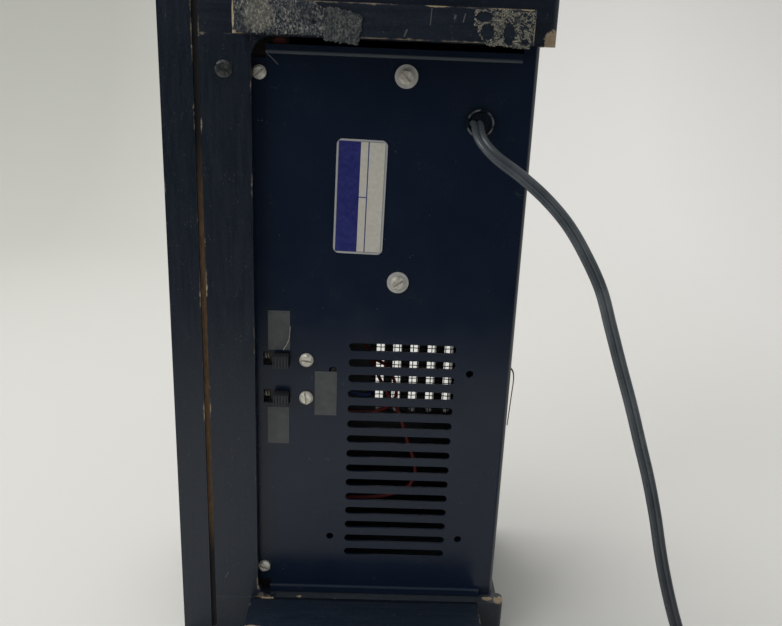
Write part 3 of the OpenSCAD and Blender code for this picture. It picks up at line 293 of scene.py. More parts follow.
# Stage and light
def stage():
    """Pale paper: a floor curving up into a wall, painted shade at the left, painted light at the right."""
    s = Shader("pale_paper", (0.66, 0.655, 0.62), 0.9, spec=0.15)
    # Painted shade and light: darker to the left and lighter to the right, more so further back.
    side = s.mul(s.span(s.axis(0), -0.5, 0.5, -1, 1), s.span(s.axis(1), 0, 1.2))
    s.set("Base Color", s.mix(s.span(side, -1, 1), (0.41, 0.41, 0.375), (0.73, 0.715, 0.69)))
    s.bump(s.noise(90, 3), 0.05, 0.0005)
    near, bend, radius, top, across = -1.6, 0.75, 0.5, 2.4, (-3.0, 0.0, 3.0)
    profile = [(near, 0), (bend, 0)]
    for i in range(1, 11):
        a = math.radians(9 * i)
        profile.append((bend + radius * math.sin(a), radius - radius * math.cos(a)))
    profile.append((bend + radius, top))
    rows = [(x, y, z) for y, z in profile for x in across]
    faces = [(i * 3 + k, i * 3 + k + 1, i * 3 + k + 4, i * 3 + k + 3)
             for i in range(len(profile) - 1) for k in range(2)]
    o = new_mesh("backdrop", rows, faces)
    give(o, s)


def dark_card():
    """A dark floor and wall behind the camera, which only glossy surfaces see."""
    s = Shader("dark_card", (0.01, 0.012, 0.016), 1.0, spec=0.0)
    s.set("Base Color", s.mix(s.noise(2, 2), (0.008, 0.010, 0.014), (0.012, 0.014, 0.018)))
    profile = [(-0.42, 0.004), (-1.5, 0.004), (-1.9, 0.4), (-1.9, 1.3)]
    rows = [(x, y, z) for y, z in profile for x in (-2.0, 2.0)]
    o = new_mesh("dark_card", rows, [(2 * i, 2 * i + 1, 2 * i + 3, 2 * i + 2) for i in range(3)], False)
    give(o, s)
    o.visible_camera = o.visible_diffuse = o.visible_shadow = o.visible_transmission = False


def lamp(name, loc, size, power, target):
    """A square soft light that faces a target."""
    data = bpy.data.lights.new(name, "AREA")
    data.shape, data.size, data.energy = "SQUARE", size, power
    o = bpy.data.objects.new(name, data)
    o.location = loc
    o.rotation_mode = "QUATERNION"
    o.rotation_quaternion = (Vector(target) - Vector(loc)).to_track_quat("-Z", "Y")
    bpy.context.scene.collection.objects.link(o)


def world():
    """Even, slightly cool light from all sides."""
    w = bpy.data.worlds.new("room")
    bpy.context.scene.world = w
    w.use_nodes = True
    bg = w.node_tree.nodes["Background"]
    bg.inputs[0].default_value = (0.96, 0.98, 1.0, 1)
    bg.inputs[1].default_value = 0.42


stage()
dark_card()
world()
lamp("ceiling", (-0.5, 0.35, 1.9), 1.5, 34, (0.05, 0.05, 0))
lamp("window", (-1.5, -1.0, 1.2), 1.2, 12, (0, 0, 0.1))


# Power cord
CORD_W, CORD_T = 5.5, 2.8  # width and thickness in mm
BUSHING_EXIT = (51.3, -47.7, 260.3)
HANGING = [  # x, y, z in mm and how far the cord stands on its edge, 0 to 1
    (52.5, -60, 255, 0), (58.5, -65, 248.5, 0), (69.5, -69, 241, 0), (79.5, -72, 233, 0),
    (89, -75, 223, 0), (97, -78, 211, 0), (104.5, -80, 197, 0), (109.5, -83, 182, 0),
    (115, -85, 166, 0), (120.5, -88, 150, 0), (125.5, -91, 134, 0), (130.5, -94, 118, 0),
    (134.5, -98, 102, 0), (138, -101, 86, 0), (142, -105, 70, 0), (147, -109, 54, 0),
    (153, -115, 38, 0), (162, -122, 23, 0), (174, -130, 11.5, 0), (187, -139, 4.4, 0),
    (197, -150, 2.4, 0.15), (203, -163, 3.0, 0.5), (205, -174, 3.0, 0.9)]
COIL_CENTRE, COIL_INNER, COIL_TURNS = (166, -188), 27.5, 3
COIL_PITCH, COIL_LAYER = CORD_T + 0.6, CORD_W + 0.6


def mm(p):
    """A point in metres from mm in the shared frame."""
    return Vector(p) / 1000


def coil_point(t):
    """A point of the coil after t turns: in to the middle, up one layer, and out again."""
    r = COIL_INNER + COIL_PITCH * abs(t - COIL_TURNS - 0.25)
    k = min(1, max(0, (t - COIL_TURNS) / 0.5))
    a = -2 * math.pi * t
    climb = COIL_LAYER * k * k * (3 - 2 * k)
    x, y = COIL_CENTRE
    return Vector((x + r * math.cos(a), y + r * math.sin(a), CORD_W / 2 + 0.05 + climb))


def cord_route():
    """The route's points in mm and, at each, the direction of the cord's width."""
    steps, per_turn = 8, 48
    upright, flat = Vector((0, 0, 1)), (1, 0, 0)
    start, begin = Vector(BUSHING_EXIT), coil_point(0) + Vector((0, CORD_W, 0))
    pts = [(start, 0), (start - Vector((0, CORD_W, 0)), 0)] + [(Vector(h[:3]), h[3]) for h in HANGING]
    pts += [(begin + Vector((0, CORD_W * 0.9, 0)), 1), (begin, 1)]
    path, hints = [], []
    for i in range(len(pts) - 1):
        around = list(four_around(pts, i))
        for k in range(steps):
            path.append(glide(*(p for p, _ in around), k / steps))
            edge = glide(*(e for _, e in around), k / steps)
            hints.append(Vector((1 - edge, 0, edge)))
    path.append(begin)
    hints.append(upright)
    total = 2 * COIL_TURNS + 0.5
    for i in range(int(total * per_turn) + 1):
        path.append(coil_point(i / per_turn))
        hints.append(upright)
    end_z, plug_z, tail = coil_point(total).z, 6.55, 52
    leave = [(6, end_z, (0, 0, 1)), (16, 8.4, (0.4, 0, 1)), (28, 7.2, (1, 0, 0.8)),
             (40, plug_z, (1, 0, 0.2)), (tail - CORD_W, plug_z, flat), (tail, plug_z, flat)]
    x = COIL_CENTRE[0] - COIL_INNER - COIL_PITCH * (COIL_TURNS + 0.25)
    last = (Vector((x, COIL_CENTRE[1], end_z)), upright)
    for dy, z, hint in leave:
        here = (Vector((x, COIL_CENTRE[1] + dy, z)), Vector(hint))
        for k in (1, 2, 3, 4):
            path.append(last[0].lerp(here[0], k / 4))
            hints.append(last[1].lerp(here[1], k / 4))
        last = here
    return path, hints


def cord_section():
    """Two round jackets side by side with a thin web between them."""
    r, off = CORD_T / 2, (CORD_W - CORD_T) / 2
    web = 0.2 * r
    angles = [math.radians(d) for d in range(-132, 133, 24)]
    right = [(off + r * math.cos(a), r * math.sin(a)) for a in angles]
    left = [(-x, -y) for x, y in right]
    return right + [(0, web)] + left + [(0, -web)]


def cord_jacket():
    """Dark grey rubber, paler and mottled higher up."""
    s = Shader("cord_jacket", (0.02, 0.024, 0.028), 0.3, spec=0.6)
    # Paler mottled grey for the cord higher up.
    upper_grey = s.mix(s.span(s.noise(60, 5), 0.35, 0.7), (0.044, 0.054, 0.064), (0.095, 0.108, 0.118))
    s.set("Base Color", s.mix(s.span(s.axis(2), 0.04, 0.16), (0.018, 0.022, 0.03), upper_grey))
    s.set("Roughness", s.span(s.noise(220, 3), 0.3, 0.7, 0.24, 0.38))
    s.bump(s.noise(900, 2), 0.15, 0.0001)
    return s


def power_cord():
    """The flat cord in one piece, from the bushing to the plug."""
    path, hints = cord_route()
    sec = cord_section()
    m, verts, faces = len(sec), [], []
    for i, p in enumerate(path):
        t = along(path, i)
        wide = (hints[i] - hints[i].dot(t) * t).normalized()
        thick = t.cross(wide)
        verts += [mm(p + wide * x + thick * y) for x, y in sec]
    for i in range(len(path) - 1):
        for k in range(m):
            a, b = i * m + k, i * m + (k + 1) % m
            faces.append((a, b, b + m, a + m))
    faces += [tuple(range(m - 1, -1, -1)), tuple(range((len(path) - 1) * m, len(path) * m))]
    o = new_mesh("flat_power_cord", verts, faces)
    on_case(o, cord_jacket())
    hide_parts("power_cord", "power_cord_coil")


power_cord()


# Painted wood
def wood_paint(name, lo, hi, streak, chip, rough, spec):
    """Black paint on wood: soft streaks, dust, and bare wood at the edges of a box and at named chips."""
    s = Shader(name + "_paint", rough=rough, spec=spec)
    lengthwise = (480, 480, 48) if streak == "Z" else (48, 480, 480)
    grain = s.noise(1, 6, 0.6, s.stretch(lengthwise))
    cloud = s.noise(14, 4, 0.6)
    paint = s.mix(s.span(grain, 0.35, 0.75), (0.0038, 0.0090, 0.0195), (0.0072, 0.0136, 0.0268))
    paint = s.mix(s.span(cloud, 0.45, 0.8, 0, 0.6), paint, (0.0098, 0.0158, 0.0252))
    grit = s.span(s.noise(1300, 3, 0.7), 0.5, 0.66, 0, 0.3)
    paint = s.mix(grit, paint, (0.034, 0.040, 0.045))
    dust = s.span(s.voronoi(800), 0.08, 0.24, 1, 0)
    dust = s.mul(dust, s.span(s.noise(260, 2), 0.57, 0.65))
    paint = s.mix(s.mul(dust, 0.6), paint, (0.13, 0.13, 0.115))
    soft = 0.0002
    # Bands from BANDS; on the left foot this is painted shade along its joint with the end panel.
    for i, low, high, tone in BANDS.get(name, ()):
        band = s.window(i, (low - soft, low), (high, high + soft))
        paint = s.mix(s.mul(band, s.span(s.noise(300, 4, 0.7), 0.3, 0.6, 0.5, 1)), paint, tone)
    ragged = s.add(s.edge(lo, hi), s.mul(s.sub(s.noise(420, 3), 0.5), 0.0016))
    rubbed = s.span(s.noise(70, 5, 0.65), 0.62 - chip * 0.2, 0.68)
    worn = s.mul(s.span(ragged, 0.0001, 0.0006, 1, 0), rubbed)
    for centre, radii in CHIPS.get(name, ()):
        worn = s.math("MAXIMUM", worn, s.spot(centre, radii))
    bare = s.mix(s.noise(500, 4), (0.16, 0.11, 0.06), (0.42, 0.34, 0.23))
    for start, end, width in MARKS.get(name, ()):
        paint = s.mix(s.mul(s.scratch(start, end, width), 0.5), paint, (0.16, 0.16, 0.15))
    s.set("Base Color", s.mix(worn, paint, bare))
    s.set("Roughness", s.add(s.span(grain, 0.3, 0.8, rough - 0.06, rough + 0.08), s.mul(worn, 0.4)))
    s.bump(grain, 0.2, 0.0002)
    s.bump(s.sub(1, worn), 0.6, 0.0003)
    return s


# Spots of bare wood: a centre and three radii in mm.
CHIPS = {
    "left_end_panel": [(at(162, 2, LEFT_INNER), (3.0, 3.5, 1.2)),
                       (at(43, 0.6, LEFT_INNER), (3.4, 1.0, 1.0)),
                       (at(59, 1, LEFT_INNER), (1.4, 0.9, 1.0)),
                       (at(156, 3, LEFT_INNER), (3.0, 1.6, 0.8))],
    "right_end_panel": [(at(163.5, 0, 294), (5.2, 3.5, 5.6)), (at(122, 0, RIGHT_INNER), (8.0, 0.8, 0.7)),
                        (at(100, 0, RIGHT_INNER), (1.2, 0.7, 0.8))],
    "left_foot": [(at(43, -0.6, LEFT_INNER), (3.4, 0.9, 1.0)), (at(38, -24, 20), (6.0, 2.6, 2.0))],
    "right_foot": [(at(34.8, FOOT_SOLE, 299), (1.0, 1.5, 6.5)), (at(36, FOOT_SOLE, 293), (3.0, 1.5, 0.7)),
                   (at(150.2, FOOT_SOLE, 298), (0.7, 1.2, 7.0)),
                   (at(112, FOOT_SOLE, RIGHT_FOOT_OUTER), (4.5, 0.8, 0.6)),
                   (at(147, FOOT_SOLE, RIGHT_FOOT_OUTER), (3.5, 0.8, 0.6))],
}
# Bands of another tone: an axis, its two ends in metres, and the tone.
BANDS = {
    # A paler band at the left end panel's inner face.
    "left_end_panel": [(2, 0.0203, 0.0208, (0.030, 0.037, 0.045))],
    # Painted shade: a near-black band along the left foot's joint with the end panel.
    "left_foot": [(1, y_at(-1.8), y_at(0.2), (0.0015, 0.0025, 0.006))],
}
# Pale scratches: two ends and a width in metres.
MARKS = {
    "bottom_front_rail": [(at(21.5, 0, 31.5), at(23.5, 0, 35), 0.00025)],
    "right_foot": [(at(100.2, FOOT_SOLE, 293.5), at(101.4, FOOT_SOLE, 296.5), 0.0004),
                   (at(119, FOOT_SOLE, 300.5), at(119.6, FOOT_SOLE, 302.4), 0.0005),
                   (at(122.4, FOOT_SOLE, 299.5), at(123.2, FOOT_SOLE, 303.0), 0.0003),
                   (at(110, FOOT_SOLE, 298), at(110.4, FOOT_SOLE, 304.5), 0.00025)],
}
# Each wooden part's grain direction, wear at the edges, roughness and gloss.
PAINTED = {
    "left_end_panel": ("X", 0.4, 0.4, 0.5),
    "right_end_panel": ("X", 0.4, 0.4, 0.5),
    "top_panel": ("Z", 0.4, 0.4, 0.5),
    "front_bezel": ("Z", 0.3, 0.36, 0.48),
    "bottom_front_rail": ("Z", 0.3, 0.38, 0.46),
    "left_foot": ("X", 0.3, 0.45, 0.4),
    "right_foot": ("X", 0.75, 0.45, 0.4),
}
RAIL_BACK = 38  # the thick part of the rail ends here, before its thin lip


def painted_wood():
    """Paints every wooden part. The rail's worn edges are those of its thick part."""
    for n, look in PAINTED.items():
        lo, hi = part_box(n)
        if n == "bottom_front_rail":
            hi = (x_at(RAIL_BACK), hi[1], hi[2])
        give(n, wood_paint(n, lo, hi, *look))


# Blocks and hardboard
def corner_blocks():
    """Glue-stained softwood."""
    s = Shader("glue_stained_softwood", rough=0.75, spec=0.2)
    ring = s.noise(6, 8, 0.6, s.stretch((12, 90, 90)))
    c = s.mix(s.span(ring, 0.35, 0.7), (0.020, 0.014, 0.011), (0.009, 0.008, 0.008))
    s.set("Base Color", s.mix(s.spot(at(49, 5, 290), (3.5, 6, 2.5)), c, (0.11, 0.03, 0.022)))
    s.bump(ring, 0.4, 0.0002)
    for n in ("front_corner_blocks", "rear_corner_blocks"):
        give(n, s)


def hardboard():
    """The brown edge of the board behind the bezel, darker towards both ends."""
    s = Shader("brown_hardboard", rough=0.7, spec=0.2)
    fibre = s.noise(900, 5, 0.7, s.stretch((1, 1, 0.25)))
    c = s.mix(s.span(fibre, 0.3, 0.7), (0.075, 0.043, 0.022), (0.16, 0.10, 0.055))
    towards_right, towards_left = s.span(s.axis(2), 0.215, 0.25), s.span(s.axis(2), 0.045, 0.066, 1, 0)
    # Near-black towards both ends of the edge.
    towards_ends = s.math("MAXIMUM", towards_right, towards_left)
    s.set("Base Color", s.mix(s.mul(towards_ends, 0.92), c, (0.012, 0.013, 0.017)))
    s.bump(fibre, 0.5, 0.0003)
    give("hardboard_backing", s)


# Enamelled steel
def steel_enamel():
    """Smooth navy-black enamel with dust, a few fine scratches and painted highlights on the bends."""
    s = Shader("navy_black_enamel", rough=0.25, spec=0.38)
    cloud = s.noise(22, 5, 0.6)
    c = s.mix(s.span(cloud, 0.3, 0.75), (0.0046, 0.0104, 0.0250), (0.0076, 0.0148, 0.0325))
    speck = s.mul(s.span(s.voronoi(620), 0.05, 0.18, 1, 0), s.span(s.noise(130, 3, 0.7), 0.62, 0.68))
    c = s.mix(s.mul(speck, 0.6), c, (0.24, 0.24, 0.22))
    hair = s.line(s.noise(9, 2, 0.4, s.stretch((1, 1, 2.2), (0, 0.5, 0)), 2.5), 0.5, 0.0, 0.0016)
    hair = s.mul(hair, s.span(s.noise(34, 2), 0.6, 0.68))
    c = s.mix(s.mul(hair, 0.25), c, (0.12, 0.125, 0.13))
    # Painted highlight: a pale line along the joggle on the flange.
    flange = s.window(0, (x_at(42.5), x_at(43.5)), (x_at(151), x_at(151.6)))
    joggle = s.mul(s.line(s.axis(2), JOGGLE / 1000, 0.0004, 0.0009), flange)
    c = s.mix(s.mul(joggle, s.span(s.noise(50, 3), 0.3, 0.6, 0.7, 1.0)), c, (0.062, 0.072, 0.080))
    # Painted highlight: a pale strip along the rear bend, below 9 mm.
    bend = s.window(0, (x_at(157.1), x_at(157.6)), (x_at(158.5), x_at(BACK_WALL)))
    bend = s.mul(bend, s.span(s.axis(1), y_at(9), y_at(9.5), 1, 0))
    c = s.mix(s.mul(bend, 0.8), c, (0.085, 0.09, 0.09))
    s.set("Base Color", c)
    s.set("Roughness", s.span(s.noise(60, 5, 0.6), 0.3, 0.75, 0.2, 0.3))
    s.bump(s.noise(1600, 2), 0.05, 0.0001)
    give("chassis_pan", s)
    back_wall_edges(s)


def back_wall_edges(enamel):
    """The rear wall of the pan runs on to both end panels, so two strips carry it there."""
    radius, sheet, start, clear = 2.4, 1.2, 151.8, 0.1
    strips = ((LEFT_INNER + clear, 23.7), (286.8, RIGHT_INNER - clear))
    turn = [math.radians(a) for a in range(-90, 1, 15)]

    def bent(r):
        """The bend from the plate to the wall, drawn with radius r round its own centre."""
        return [(BACK_WALL - radius + r * math.cos(a), PLATE + radius + r * math.sin(a)) for a in turn]

    outer = [(start, PLATE)] + bent(radius) + [(BACK_WALL, BACK_TOP)]
    inner = [(start, PLATE + sheet)] + bent(radius - sheet) + [(BACK_WALL - sheet, BACK_TOP)]
    ring = outer + inner[::-1]
    n, verts, faces = len(ring), [], []
    for ends in strips:
        base = len(verts)
        verts += [at(u, v, w) for w in ends for u, v in ring]
        for i in range(n):
            k = (i + 1) % n
            faces.append((base + i, base + k, base + n + k, base + n + i))
        for i in range(n // 2 - 1):
            cap = (base + i, base + i + 1, base + n - 2 - i, base + n - 1 - i)
            faces += [cap[::-1], tuple(k + n for k in cap)]
    on_case(new_mesh("back_wall_edges", verts, faces, False), enamel)


# Metals
def plated(name, a, b, rough, scale=400, metal=0.55):
    """Plated metal with its tone mottled between a and b."""
    s = Shader(name, rough=rough, metal=metal)
    n = s.noise(scale, 4, 0.6)
    s.set("Base Color", s.mix(s.span(n, 0.3, 0.7), a, b))
    s.set("Roughness", s.span(s.noise(scale * 2, 3), 0.3, 0.7, rough - 0.08, rough + 0.12))
    s.bump(n, 0.12, 0.0001)
    return s


def metals():
    """Screws, nuts, springs, switch bodies, spacers and cans."""
    zinc = plated("aged_zinc", (0.80, 0.78, 0.70), (0.42, 0.39, 0.31), 0.3, 500, 0.3)
    for n in ("chassis_front_screws", "chassis_rear_screws", "switch_screws", "transformer_screws",
              "switch_nuts", "transformer_nuts", "board_screws",
              "slow_switch_spring", "fast_switch_spring"):
        give(n, zinc)
    washer = plated("washer_zinc", (0.62, 0.61, 0.58), (0.46, 0.45, 0.43), 0.4, 400, 0.3)
    give("transformer_washers", washer)
    tin = plated("switch_steel", (0.16, 0.16, 0.15), (0.09, 0.088, 0.08), 0.4)
    for n in ("slow_switch_housing", "fast_switch_housing", "transformer_strap"):
        give(n, tin)
    brass = plated("brass", (0.62, 0.47, 0.2), (0.45, 0.32, 0.12), 0.35)
    for n in ("plug_blades", "display_standoffs", "board_spacers"):
        give(n, brass)
    can = plated("can_metal", (0.62, 0.62, 0.6), (0.5, 0.5, 0.48), 0.3)
    for n in ("driver_transistors", "filter_capacitor"):
        give(n, can)


def laminations():
    """The stacked sheets of the transformer's core, seen on edge."""
    s = Shader("laminations", rough=0.5, metal=0.3)
    bands = s.wave(900, s.stretch((1, 0, 0)), 0.2, 0, "X")
    s.set("Base Color", s.mix(bands, (0.05, 0.055, 0.06), (0.16, 0.16, 0.165)))
    s.bump(bands, 0.5, 0.0002)
    give("transformer_core", s)


def rail_screw():
    """A wood screw painted over with the case, the paint worn on its head."""
    s = Shader("painted_over_screw", rough=0.45, spec=0.4)
    n = s.noise(700, 4, 0.6)
    s.set("Base Color", s.mix(s.span(n, 0.45, 0.68), (0.018, 0.022, 0.026), (0.07, 0.068, 0.06)))
    s.bump(n, 0.5, 0.0003)
    give("rail_wood_screw", s)


# Data plate and tags
def data_plate():
    """Blank printed foil: a silver rim, a blue field in front and a pale field with thin rules behind."""
    s = Shader("printed_foil", rough=0.35, spec=0.5)
    lo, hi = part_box("data_plate")
    centre_x, centre_z = (round((lo[i] + hi[i]) / 2, 4) for i in (0, 2))
    tilt = math.radians(1.1)
    half_wide, half_tall = 0.0102, 0.0245
    blue_end, long_rule, cross_rule = -0.0006, 0.0029, 0.0003
    rule_edge, soft = (0.00022, 0.00032), 0.0001
    dx, dz = s.sub(s.axis(0), centre_x), s.sub(s.axis(2), centre_z)
    a = s.sub(s.mul(dx, math.cos(tilt)), s.mul(dz, math.sin(tilt)))
    b = s.add(s.mul(dx, math.sin(tilt)), s.mul(dz, math.cos(tilt)))
    past_side = s.sub(s.math("ABSOLUTE", a), half_wide)
    past_end = s.sub(s.math("ABSOLUTE", b), half_tall)
    rim = s.math("MAXIMUM", past_side, past_end)
    in_rim = s.span(rim, -0.00006, 0.00006)
    wear = s.noise(600, 5, 0.65)
    ink = s.mix(s.span(wear, 0.4, 0.8), (0.012, 0.015, 0.135), (0.022, 0.026, 0.185))
    pale = s.mix(s.span(wear, 0.35, 0.75), (0.56, 0.54, 0.47), (0.46, 0.44, 0.38))
    rule = s.mul(s.line(b, cross_rule, *rule_edge), s.span(a, long_rule, long_rule + soft, 1, 0))
    rule = s.math("MAXIMUM", rule, s.line(a, long_rule, *rule_edge))
    pale = s.mix(s.mul(rule, 0.9), pale, (0.02, 0.025, 0.17))
    field = s.mix(s.span(a, blue_end, blue_end + soft, 1, 0), pale, ink)
    # Painted shade: a dark line in the groove where the field meets the rim.
    groove_shade = s.mul(s.line(rim, 0, 0.0001, 0.00022), 0.6)
    s.set("Base Color", s.mix(groove_shade, s.mix(in_rim, field, (0.60, 0.60, 0.61)), (0.10, 0.10, 0.13)))
    s.set("Metallic", s.mul(in_rim, 0.45))
    s.set("Roughness", s.span(wear, 0.3, 0.7, 0.28, 0.45))
    s.bump(wear, 0.08, 0.0001)
    give("data_plate", s)


def legend_tags():
    """Blank grey tape."""
    s = Shader("grey_tape", rough=0.42, spec=0.45)
    n = s.noise(300, 4)
    s.set("Base Color", s.mix(s.span(n, 0.3, 0.7), (0.054, 0.060, 0.062), (0.074, 0.081, 0.083)))
    s.bump(n, 0.15, 0.0001)
    give("legend_tags", s)


# Torn felt, tape and glue
# The seed sets the noise that frays the edges, which otherwise changes from run to run. The outlines are
# lists of (u, w), and a hole is an ellipse: its centre and its two radii.
TEAR_SEED = 1795678893
PAD_HOLE = (66, 297.6, 0.9, 0.7)
TAPE_FLAP = [(69.0, 302.7), (72.7, 303.2), (80.3, 301.7), (84.4, 300.4), (83.5, 291.8), (82.8, 289.8),
             (76.0, 290.6), (69.8, 291.2)]
OLD_GLUE = [(126.6, 304.3), (126.8, 299.0), (129.2, 295.0), (131.6, 291.8), (136, 291.6), (148.6, 291.0),
            (149.8, 297), (149.9, 304.2), (138, 304.9)]
GLUE_HOLES = [(130.6, 301.9, 3.2, 1.9), (132.0, 296.6, 2.6, 2.9), (140.3, 296.2, 2.2, 4.0),
              (127.5, 297.0, 0.9, 1.6), (146.6, 293.4, 1.2, 1.0)]


def torn_patch(verts, faces, outline, holes, v, thick, cell):
    """Adds a thin frayed pad to a mesh. It lies on a face at height v that looks down -Y.

    The outline is in u and w, the holes are ellipses as centre and radii, and cell is the mesh size, in mm.
    """
    us, ws = [p[0] for p in outline], [p[1] for p in outline]
    nu, nw = int((max(us) - min(us)) / cell) + 3, int((max(ws) - min(ws)) / cell) + 3
    u0, w0 = min(us) - cell, min(ws) - cell

    def inside(i, k):
        u, w = u0 + (i + 0.5) * cell, w0 + (k + 0.5) * cell
        here = Vector((u, w, v))
        shift = noise.noise_vector(here * 0.8) * 0.5 + noise.noise_vector(here * 2.5) * 0.3
        u, w = u + shift.x, w + shift.y
        if any(((u - a) / ra) ** 2 + ((w - c) / rc) ** 2 < 1 for a, c, ra, rc in holes):
            return False
        odd = False
        for (a, c), (b, d) in zip(outline, outline[1:] + outline[:1]):
            if (c > w) != (d > w) and u < a + (w - c) * (b - a) / (d - c):
                odd = not odd
        return odd

    kept = {(i, k) for i in range(nu) for k in range(nw) if inside(i, k)}
    ids = {}

    def corner(i, k, top):
        if (i, k, top) not in ids:
            u, w = u0 + i * cell, w0 + k * cell
            lump = 0.5 + 0.5 * noise.noise(Vector((u, w, v)) * 0.7)
            lump += 0.25 * noise.noise(Vector((u, w, 3 * v)) * 2.2)
            ids[i, k, top] = len(verts)
            verts.append(at(u, v - (thick * min(1, max(0.25, lump)) if top else 0), w))
        return ids[i, k, top]

    for i, k in kept:
        loop = [(i, k), (i + 1, k), (i + 1, k + 1), (i, k + 1)]
        faces.append([corner(*c, True) for c in loop])
        faces.append([corner(*c, False) for c in reversed(loop)])
        for (di, dk), a, b in (((0, -1), 0, 1), ((1, 0), 1, 2), ((0, 1), 2, 3), ((-1, 0), 3, 0)):
            if (i + di, k + dk) not in kept:
                a, b = loop[a], loop[b]
                faces.append([corner(*b, True), corner(*a, True), corner(*a, False), corner(*b, False)])


def torn_felt():
    """Felt with dark and faded patches, the darker tape flap, and streaks of old glue further back."""
    s = Shader("torn_felt", rough=0.85, spec=0.25)
    fibre = s.noise(1250, 3, 0.7, s.stretch((1, 1, 0.6)), 0.6)
    cloud = s.noise(75, 4, 0.65)
    cloth = s.mix(s.span(fibre, 0.42, 0.60), (0.010, 0.015, 0.025), (0.150, 0.152, 0.142))
    cloth = s.mix(s.span(fibre, 0.59, 0.68), cloth, (0.42, 0.40, 0.33))
    cloth = s.mix(s.span(cloud, 0.50, 0.68, 0, 0.8), cloth, (0.016, 0.022, 0.032))
    faded = s.spot(at(45, FOOT_SOLE, 300), (6, 3, 7), 0.8)
    cloth = s.mix(s.mul(faded, 0.3), cloth, (0.25, 0.235, 0.18))
    on_flap = s.window(0, (x_at(69.4), x_at(70.2)), (x_at(100), x_at(101)))
    tape = s.mix(s.span(fibre, 0.42, 0.62), (0.022, 0.028, 0.034), (0.092, 0.094, 0.088))
    cloth = s.mix(s.mul(on_flap, 0.85), cloth, tape)
    lace = s.noise(300, 4, 0.7, dist=0.8)
    smear = s.mul(s.span(s.noise(150, 4, 0.7), 0.46, 0.60), s.span(fibre, 0.44, 0.62))
    glue = s.mix(smear, (0.011, 0.017, 0.027), (0.190, 0.178, 0.135))
    glue = s.mix(s.mul(s.line(lace, 0.5, 0.008, 0.035), 0.7), glue, (0.36, 0.335, 0.25))
    s.set("Base Color", s.mix(s.span(s.axis(0), x_at(110), x_at(111)), cloth, glue))
    s.bump(fibre, 0.8, 0.0004)
    s.bump(lace, 0.4, 0.0003)
    return s


def felt_pads():
    """What is left of the felt on the right foot, with a loose flap of tape and rings of old glue."""
    noise.seed_set(TEAR_SEED)
    lo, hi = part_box("foot_pads")
    low, high = lo[2] * 1000, hi[2] * 1000
    verts, faces = [], []
    pad = [(36.2, low), (69.5, low), (69.8, low + 5), (69.0, high - 2), (66, high), (36.0, high)]
    torn_patch(verts, faces, pad, [PAD_HOLE], FOOT_SOLE, 0.55, 0.45)
    torn_patch(verts, faces, TAPE_FLAP, [], FOOT_SOLE - 0.15, 0.4, 0.35)
    torn_patch(verts, faces, OLD_GLUE, GLUE_HOLES, FOOT_SOLE, 0.3, 0.4)
    o = new_mesh("torn_felt_pads", verts, faces)
    on_case(o, torn_felt())
    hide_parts("foot_pads")


# Plastics and boards
def moulded(name, a, b, rough=0.4, spec=0.5, scale=500, bump=0.1):
    """Moulded plastic or rubber with its tone mottled between a and b."""
    s = Shader(name, rough=rough, spec=spec)
    n = s.noise(scale, 4, 0.6)
    s.set("Base Color", s.mix(s.span(n, 0.3, 0.7), a, b))
    s.set("Roughness", s.span(s.noise(scale * 0.3, 4), 0.3, 0.7, rough - 0.07, rough + 0.1))
    s.bump(n, bump, 0.0001)
    return s


def bushing():
    """Glossy black nylon with a painted highlight in pale arcs on its rim."""
    s = moulded("bushing_nylon", (0.005, 0.008, 0.014), (0.009, 0.013, 0.020), 0.16, 0.6)
    lo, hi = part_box("cord_bushing")
    dx, dz = (s.sub(s.axis(i), (lo[i] + hi[i]) / 2) for i in (0, 2))
    radius = s.math("SQRT", s.add(s.mul(dx, dx), s.mul(dz, dz)))
    # Painted highlight: pale arcs on the rim, broken up by noise.
    rim = s.line(radius, (hi[0] - lo[0]) / 2 - 0.0007, 0.0002, 0.0005)
    rim = s.mul(rim, s.span(s.noise(190, 2), 0.44, 0.54))
    black = s.bsdf.inputs["Base Color"].links[0].from_socket
    s.set("Base Color", s.mix(s.mul(rim, 0.8), black, (0.17, 0.18, 0.19)))
    give("cord_bushing", s)


def plastics():
    """Levers, plug, cords, wires, chip, diodes, capacitors and the laminate under the switch terminals."""
    lever = moulded("lever_nylon", (0.020, 0.023, 0.026), (0.034, 0.037, 0.040), 0.42, 0.35)
    give("slow_switch_slider", lever)
    give("fast_switch_slider", lever)
    rubber = moulded("plug_rubber", (0.012, 0.014, 0.016), (0.022, 0.024, 0.026), 0.5, 0.4, 700, 0.3)
    give("plug_body", rubber)
    give("inner_cord", moulded("inner_jacket", (0.02, 0.024, 0.024), (0.04, 0.045, 0.042), 0.42))
    give("wire_nuts", moulded("tan_plastic", (0.50, 0.36, 0.16), (0.42, 0.29, 0.12), 0.4))
    black = moulded("black_insulation", (0.012, 0.013, 0.014), (0.02, 0.021, 0.022), 0.35)
    give("transformer_leads", black)
    give("red_wires", moulded("red_insulation", (0.17, 0.012, 0.012), (0.11, 0.008, 0.008), 0.4))
    give("blue_wire", moulded("blue_insulation", (0.012, 0.03, 0.15), (0.008, 0.02, 0.10), 0.4))
    give("clock_chip", moulded("chip_plastic", (0.012, 0.012, 0.013), (0.02, 0.02, 0.021), 0.45))
    give("rectifier_diodes", moulded("diode_plastic", (0.012, 0.012, 0.014), (0.025, 0.025, 0.027), 0.4))
    give("small_capacitors", moulded("blue_sleeve", (0.03, 0.08, 0.26), (0.045, 0.11, 0.32), 0.25))
    for n in ("slow_switch_terminals", "fast_switch_terminals"):
        give(n, moulded("brown_laminate_" + n[:4], (0.06, 0.034, 0.016), (0.035, 0.02, 0.01), 0.5))


